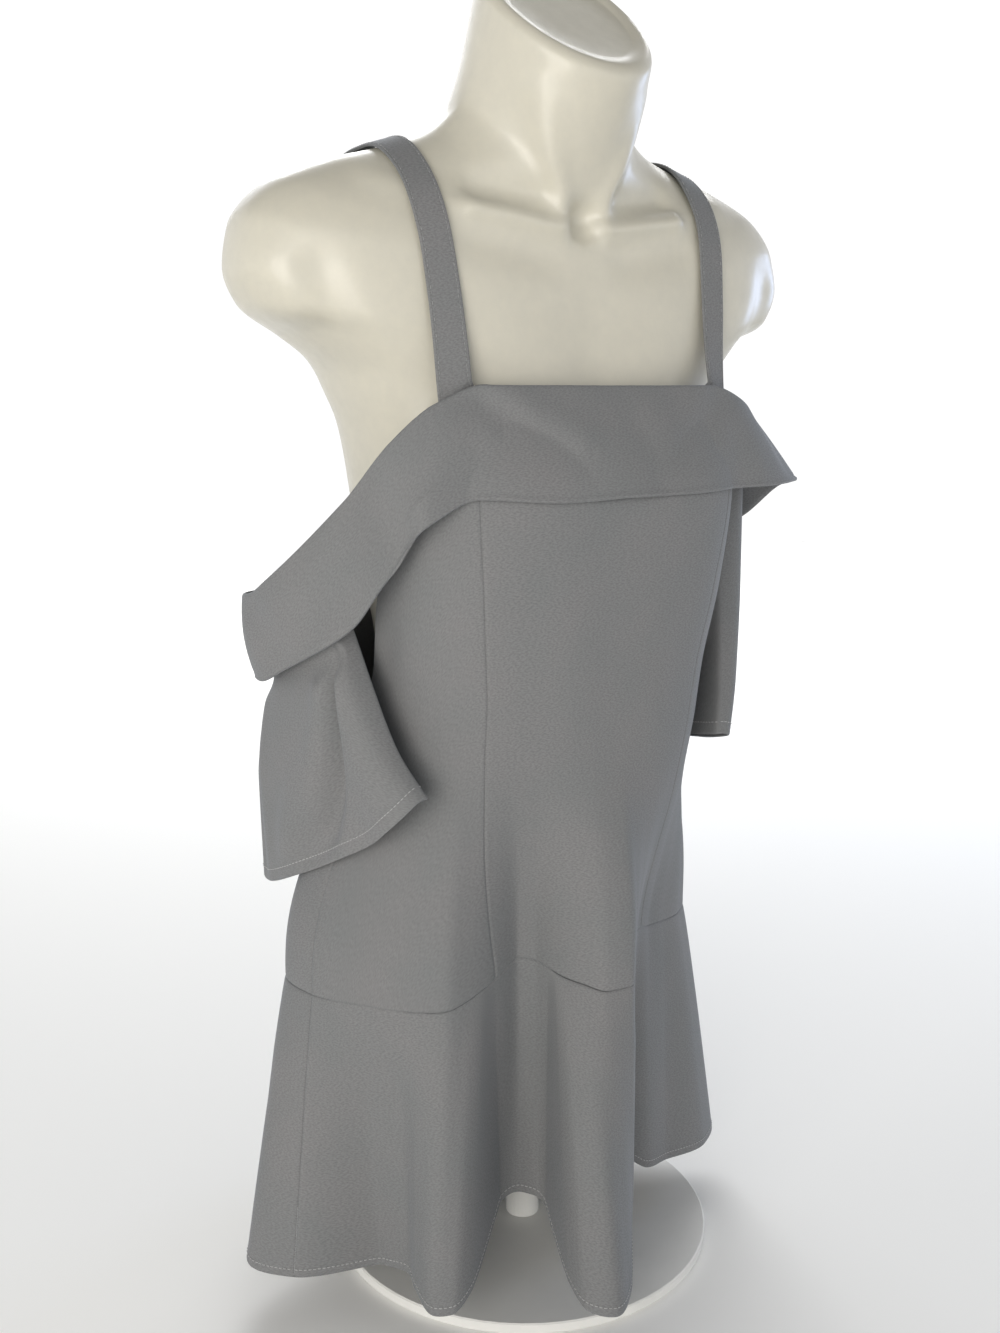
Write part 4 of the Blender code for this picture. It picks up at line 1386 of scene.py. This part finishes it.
@dataclass(frozen=True)
class Relief:
    """A soft ridge, or a hollow where `height` is negative, along a path of (x, z) points on both sides.

    `front` tells the chest from the back; `width` and `height` are metres.
    """

    path: Table
    width: float
    height: float
    front: bool = True

    def at(self, x: Array, z: Array) -> Array:
        """Height of the relief at points of the face.

        Args:
            x: distance from the middle plane, with its sign.
            z: height above the floor.

        Returns:
            Height in metres at each point.
        """
        x = np.abs(x)
        nearest = np.full(np.shape(x), np.inf)
        for (ax, az), (bx, bz) in zip(self.path[:-1], self.path[1:]):
            run = (bx - ax) ** 2 + (bz - az) ** 2
            t = np.clip(((x - ax) * (bx - ax) + (z - az) * (bz - az)) / run, 0.0, 1.0)
            nearest = np.minimum(nearest, (x - ax - t * (bx - ax)) ** 2 + (z - az - t * (bz - az)) ** 2)
        return self.height * np.exp(-nearest / self.width**2)


@dataclass
class Torso:
    """Moulded limbless torso with rounded shoulders and a slanted neck cap.

    rings: half width and height at the sides; front y and height; back y and height; squareness; arch.
    cap: share of the way from the neck's rim to its middle, and how far the cap lies below the rim.
    """

    plastic: Material
    columns: int = 264
    rows: int = 230
    underside: float = 0.55
    front_from: float = 0.35
    front_blend: float = 0.3
    smooth_neck: float = 0.10
    cap: Table = (
        (0.04, 0.0002), (0.1, 0.0005), (0.14, 0.0016), (0.19, 0.0021), (0.5, 0.0022), (1.0, 0.0022),
    )
    rings: Table = (
        (0.028, 0.3, -0.026, 0.3, 0.026, 0.3, 2, 2), (0.06, 0.304, -0.048, 0.304, 0.048, 0.304, 2, 2),
        (0.086, 0.318, -0.066, 0.318, 0.066, 0.318, 2.1, 2),
        (0.101, 0.345, -0.079, 0.345, 0.079, 0.345, 2.2, 2),
        (0.107, 0.385, -0.085, 0.385, 0.084, 0.385, 2.2, 2),
        (0.107, 0.435, -0.088, 0.435, 0.082, 0.435, 2.3, 2), (0.115, 0.5, -0.097, 0.5, 0.086, 0.5, 2.4, 2),
        (0.125, 0.56, -0.101, 0.56, 0.089, 0.56, 2.5, 2),
        (0.133, 0.61, -0.086, 0.608, 0.088, 0.61, 2.5, 2),
        (0.149, 0.64, -0.08, 0.634, 0.088, 0.642, 2.5, 2),
        (0.174, 0.664, -0.078, 0.656, 0.089, 0.67, 2.5, 2),
        (0.203, 0.684, -0.075, 0.676, 0.087, 0.694, 2.5, 2),
        (0.212, 0.706, -0.073, 0.694, 0.084, 0.716, 2.5, 2),
        (0.208, 0.732, -0.071, 0.71, 0.08, 0.74, 2.5, 2),
        (0.19, 0.754, -0.069, 0.722, 0.072, 0.762, 2.4, 2),
        (0.152, 0.771, -0.067, 0.731, 0.064, 0.78, 2.3, 2),
        (0.112, 0.782, -0.067, 0.739, 0.056, 0.793, 2.2, 2),
        (0.08, 0.794, -0.069, 0.748, 0.048, 0.807, 2.1, 1.8),
        (0.062, 0.812, -0.074, 0.762, 0.039, 0.827, 2, 1.5),
        (0.057, 0.834, -0.084, 0.782, 0.029, 0.856, 2, 1.2),
        (0.056, 0.852, -0.095, 0.804, 0.019, 0.888, 2, 1),
        (0.055, 0.864, -0.101, 0.82, 0.011, 0.908, 2, 1), (0.051, 0.87, -0.098, 0.827, 0.007, 0.913, 2, 1),
    )
    reliefs: tuple[Relief, ...] = (
        # Collarbones and the hollows above and below them.
        Relief(((0.016, 0.731), (0.050, 0.737), (0.078, 0.741)), 0.0080, 0.0055),
        Relief(((0.086, 0.742), (0.110, 0.747), (0.135, 0.757)), 0.0095, 0.0018),
        Relief(((0.030, 0.752), (0.072, 0.757)), 0.0105, -0.0050),
        Relief(((0.030, 0.714), (0.080, 0.721)), 0.0140, -0.0026),
        # Notch at the base of the throat, with a tendon on each side of the neck.
        Relief(((0.0, 0.738), (0.004, 0.737)), 0.0110, -0.0085),
        Relief(((0.013, 0.738), (0.024, 0.768), (0.040, 0.815)), 0.0075, 0.0046),
        Relief(((0.0, 0.755), (0.0, 0.785)), 0.0150, -0.0012),
        # Fold between chest and shoulder cap.
        Relief(((0.150, 0.640), (0.168, 0.668), (0.178, 0.700)), 0.0150, -0.0040),
        Relief(((0.188, 0.672), (0.198, 0.704)), 0.0150, 0.0016),
        # Upper chest, flat between the straps.
        Relief(((0.045, 0.640), (0.060, 0.672)), 0.0300, 0.0022),
        Relief(((0.0, 0.640), (0.0, 0.700)), 0.0160, -0.0014),
        # Shoulder blades and the line of the spine.
        Relief(((0.070, 0.650), (0.082, 0.710)), 0.0260, 0.0032, front=False),
        Relief(((0.0, 0.500), (0.0, 0.740)), 0.0120, -0.0034, front=False),
        Relief(((0.150, 0.640), (0.160, 0.690)), 0.0130, -0.0030, front=False),
    )

    def grid(self) -> Array:
        """Rings of the torso's skin from the underside to the neck, with their relief.

        Returns:
            Rows and columns of points.
        """
        share = np.linspace(0.0, 1.0, self.rows)
        table = np.array(self.rings)
        knots = along_line(table[:, :2]) + along_line(table[:, 2:4])
        rings = read(np.column_stack([knots, table]), share * knots[-1])
        side, side_z, front, front_z, back, back_z, square, arch = (values[:, None] for values in rings)
        turn = round_turn(self.columns)
        reach = squared(np.cos(turn), square)
        x = side * squared(np.sin(turn), square)
        y = 0.5 * (front + back) - 0.5 * (back - front) * reach
        ahead, behind = np.clip(reach, 0.0, None), np.clip(-reach, 0.0, None)
        z = side_z + (front_z - side_z) * ahead**arch + (back_z - side_z) * behind**arch
        grid = np.stack([x, y, z], axis=-1)
        normals = -grid_normals(grid, True)
        facing = ease((0.5 - 0.5 * normals[..., 1] - self.front_from) / self.front_blend)
        height = np.zeros(grid.shape[:2])
        for relief in self.reliefs:
            height = height + relief.at(x, z) * (facing if relief.front else 1.0 - facing)
        calm = ease((1.0 - share) / self.smooth_neck)[:, None]
        return grid + normals * (height * calm)[..., None]

    def build(self) -> BVHTree:
        """Build the skin.

        Returns:
            A search tree of its surface.
        """
        body = self.grid()
        low = body[:1] + (body[0].mean(axis=0) - body[:1]) * np.array([1.0, self.underside])[:, None, None]
        rim = body[-1]
        slope = unit(np.cross(rim[self.columns // 4] - rim[0], rim[self.columns // 2] - rim[0]))
        slope = slope * np.sign(slope[2])
        cap = [rim + (rim.mean(axis=0) - rim) * share - slope * sink for share, sink in self.cap]
        grid = np.concatenate([low, body, np.array(cap)])
        faces, marks = quad_grid(len(grid), self.columns, True)
        points = grid.reshape(-1, 3)
        item = mesh_object("form_skin", points, faces, grid_uv(grid, True)[marks], self.plastic)
        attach(item, "root")
        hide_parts("form_torso")
        LOG.info("form_skin: %d faces", len(item.data.polygons))
        return BVHTree.FromPolygons([Vector(v) for v in points], faces.tolist())


@dataclass
class Stand:
    """Plain post and plate of the frame, which keep their own shape."""

    metal: Material
    nodes: tuple[str, ...] = ("form_post", "form_base")

    def dress(self, frame: dict[str, dict[str, Object]]) -> None:
        """Give the post and the plate their finish.

        Args:
            frame: the loaded frame.
        """
        for name in self.nodes:
            item = frame["nodes"][name]
            item.data.materials.clear()
            item.data.materials.append(self.metal)
            LOG.info("%s: %s", name, self.metal.name)


# The studio


@dataclass(frozen=True)
class SoftLight:
    """A soft square light: azimuth from the front and elevation in degrees, distance and size in metres."""

    name: str
    azimuth: float
    elevation: float
    distance: float
    size: float
    power: float
    colour: str
    aim: Point = (0.0, 0.0, 0.5)
    middle: Point = (0.0, 0.0, 0.5)

    def hang(self) -> None:
        """Hang the light round the dress."""
        lamp = bpy.data.lights.new(self.name, "AREA")
        lamp.energy = self.power
        lamp.size = self.size
        lamp.color = linear(self.colour)[:3]
        item = bpy.data.objects.new(self.name, lamp)
        bpy.context.scene.collection.objects.link(item)
        turn, rise = math.radians(self.azimuth), math.radians(self.elevation)
        away = Vector((math.sin(turn) * math.cos(rise), -math.cos(turn) * math.cos(rise), math.sin(rise)))
        item.location = Vector(self.middle) + away * self.distance
        item.rotation_mode = "QUATERNION"
        item.rotation_quaternion = (Vector(self.aim) - item.location).to_track_quat("-Z", "Y")


@dataclass
class Studio:
    """Pale floor, sky, soft lights and the camera at the photograph's viewing angle."""

    camera_at: Point = (-0.557, -0.842, 0.631)
    heading: float = 32.5
    pitch: float = 10.92
    lens: float = 38.62
    sensor: float = 36.0
    nearest: float = 0.01
    floor_size: float = 7.6
    floor_drop: float = 0.0002
    horizon: float = 1.05
    zenith: float = 0.10
    horizon_top: float = 16.0
    dark_from: float = 50.0
    lights: tuple[SoftLight, ...] = (
        SoftLight("window_left", -52.0, 4.0, 2.3, 1.3, 29.0, "fffaf2"),
        SoftLight("window_right", 98.0, 10.0, 2.2, 0.7, 6.0, "c4d8ff"),
        SoftLight("soft_back", 168.0, 35.0, 2.2, 1.4, 6.0, "f3f6ff"),
        SoftLight("paper_wash", 147.0, 32.0, 4.2, 3.0, 130.0, "ffffff", (1.9, 3.0, 0.0)),
    )

    def floor(self) -> None:
        """Lay the paper on the floor."""
        half = self.floor_size / 2.0
        corners = [(x * half, y * half, -self.floor_drop) for x, y in ((-1, -1), (1, -1), (1, 1), (-1, 1))]
        mesh_object("studio_floor", np.array(corners), np.array([[0, 1, 2, 3]]),
                             np.zeros((1, 4, 2)), StudioPaperFinish().make())

    def sky(self) -> None:
        """Light the sky brightly at the horizon and dimly overhead."""
        world = bpy.data.worlds.new("studio_sky")
        world.use_nodes = True
        bench = NodeBench(world.node_tree)
        parts = bench.add("ShaderNodeSeparateXYZ", inputs={"Vector": bench.place("Generated")})
        fall = bench.add("ShaderNodeMapRange", {"interpolation_type": "SMOOTHSTEP"}, {
            "Value": parts.outputs["Z"],
            "From Min": math.sin(math.radians(self.horizon_top)),
            "From Max": math.sin(math.radians(self.dark_from)),
            "To Min": self.horizon,
            "To Max": self.zenith,
        })
        background = bench.tree.nodes["Background"]
        background.inputs["Color"].default_value = linear("ffffff")
        bench.tree.links.new(fall.outputs["Result"], background.inputs["Strength"])
        bpy.context.scene.world = world

    def camera(self) -> None:
        """Set up the camera."""
        camera = bpy.data.cameras.new("photo_camera")
        camera.lens = self.lens
        camera.sensor_width = self.sensor
        camera.clip_start = self.nearest
        item = bpy.data.objects.new("photo_camera", camera)
        item.location = self.camera_at
        item.rotation_euler = (math.radians(90.0 - self.pitch), 0.0, -math.radians(self.heading))
        bpy.context.scene.collection.objects.link(item)
        bpy.context.scene.camera = item
        bpy.context.scene.view_settings.view_transform = "Standard"

    def build(self) -> None:
        """Set up the floor, the sky, the lights and the camera."""
        self.floor()
        self.sky()
        for light in self.lights:
            light.hang()
        self.camera()
        LOG.info("studio: floor, sky, %d soft lights and the camera", len(self.lights))


@dataclass
class Dress:
    """The whole dress: its shape, its pieces and how far its stitches lie from the edges."""

    shape: WornShape = field(default_factory=WornShape)
    hem_stitch: float = 0.0060
    sleeve_stitch: float = 0.0090
    strap_stitch: float = 0.0026
    right_levels: Table = (
        (-0.158, -0.028, 0.5, -0.151, 0.062, 0.45, 0.03, 0.018, 0.013, -0.05, 0),
        (-0.154, -0.056, 0.452, -0.152, 0.067, 0.418, 0.03, 0.01, 0.01, -0.024, 0.003),
        (-0.147, -0.076, 0.411, -0.164, 0.073, 0.368, 0.027, -0.006, 0.009, -0.008, 0.005),
        (-0.137, -0.095, 0.382, -0.163, 0.078, 0.298, 0.024, -0.02, 0.01, 0, 0.007),
    )
    left_levels: Table = (
        (0.14, -0.05, 0.56, 0.15, 0.074, 0.545, 0.032, 0.024, 0.014, -0.132, 0),
        (0.139, -0.052, 0.49, 0.151, 0.076, 0.47, 0.032, 0.01, 0.009, -0.072, 0.003),
        (0.135, -0.06, 0.424, 0.15, 0.079, 0.409, 0.026, 0, 0.008, -0.02, 0.005),
        (0.127, -0.068, 0.384, 0.144, 0.081, 0.356, 0.021, -0.006, 0.007, 0, 0.006),
    )
    right_creases: Table = (
        (38, 0.2, 90, 0.95, 0.0058, 0.0092), (54, 0.22, 104, 0.95, 0.009, -0.0046),
        (122, 0.3, 120, 1, 0.011, -0.0016), (140, 0.3, 134, 1, 0.012, 0.0018),
    )
    left_creases: Table = (
        (92, 0.25, 98, 1, 0.012, 0.0017), (128, 0.2, 122, 1, 0.011, -0.0013),
        (150, 0.35, 146, 1, 0.012, 0.0013),
    )

    def build(self, skin: BVHTree) -> None:
        """Args:
            skin: the form's surface, which the straps stay clear of.
        """
        cloth = CrepeFinish().make()
        pale = Stitching(ThreadFinish("pale_grey_thread", "b4b5b5").make())
        matched = Stitching(ThreadFinish("matched_grey_thread", "6c6d6e").make(), width=0.0005)

        def hem(piece: ClothPiece, inset: float) -> None:
            normals = grid_normals(piece.grid, piece.closed)[::-1]
            piece.declare([pale.sew(piece, "hem", [pale.inset_line(piece.grid[::-1], normals, inset)])])

        for panel in Bodice(self.shape, cloth).build():
            panel.declare()
        for piece in Flounce(self.shape, cloth).build():
            hem(piece, self.hem_stitch)
        band = Band(self.shape, cloth)
        band.build().declare()
        for side, levels, creases in ((Side.RIGHT, self.right_levels, self.right_creases),
                                      (Side.LEFT, self.left_levels, self.left_creases)):
            hem(Sleeve(side, levels, creases, self.shape, band, cloth).build(), self.sleeve_stitch)
        for side in Side:
            strap = Strap(side, self.shape, cloth).build(skin)
            grid = np.swapaxes(strap.grid, 0, 1)
            normals = np.swapaxes(grid_normals(strap.grid, False), 0, 1)
            edges = ((grid, normals), (grid[::-1], normals[::-1]))
            lines = [matched.inset_line(points, facing, self.strap_stitch) for points, facing in edges]
            strap.declare([matched.sew(strap, "edge", lines)])


def main() -> None:
    """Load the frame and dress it."""
    logging.basicConfig(level=logging.INFO, format="%(name)s %(message)s")
    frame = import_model()
    skin = Torso(MouldedPlasticFinish().make()).build()
    Stand(PowderCoatFinish().make()).dress(frame)
    Dress().build(skin)
    Studio().build()


if __name__ == "__main__":
    main()
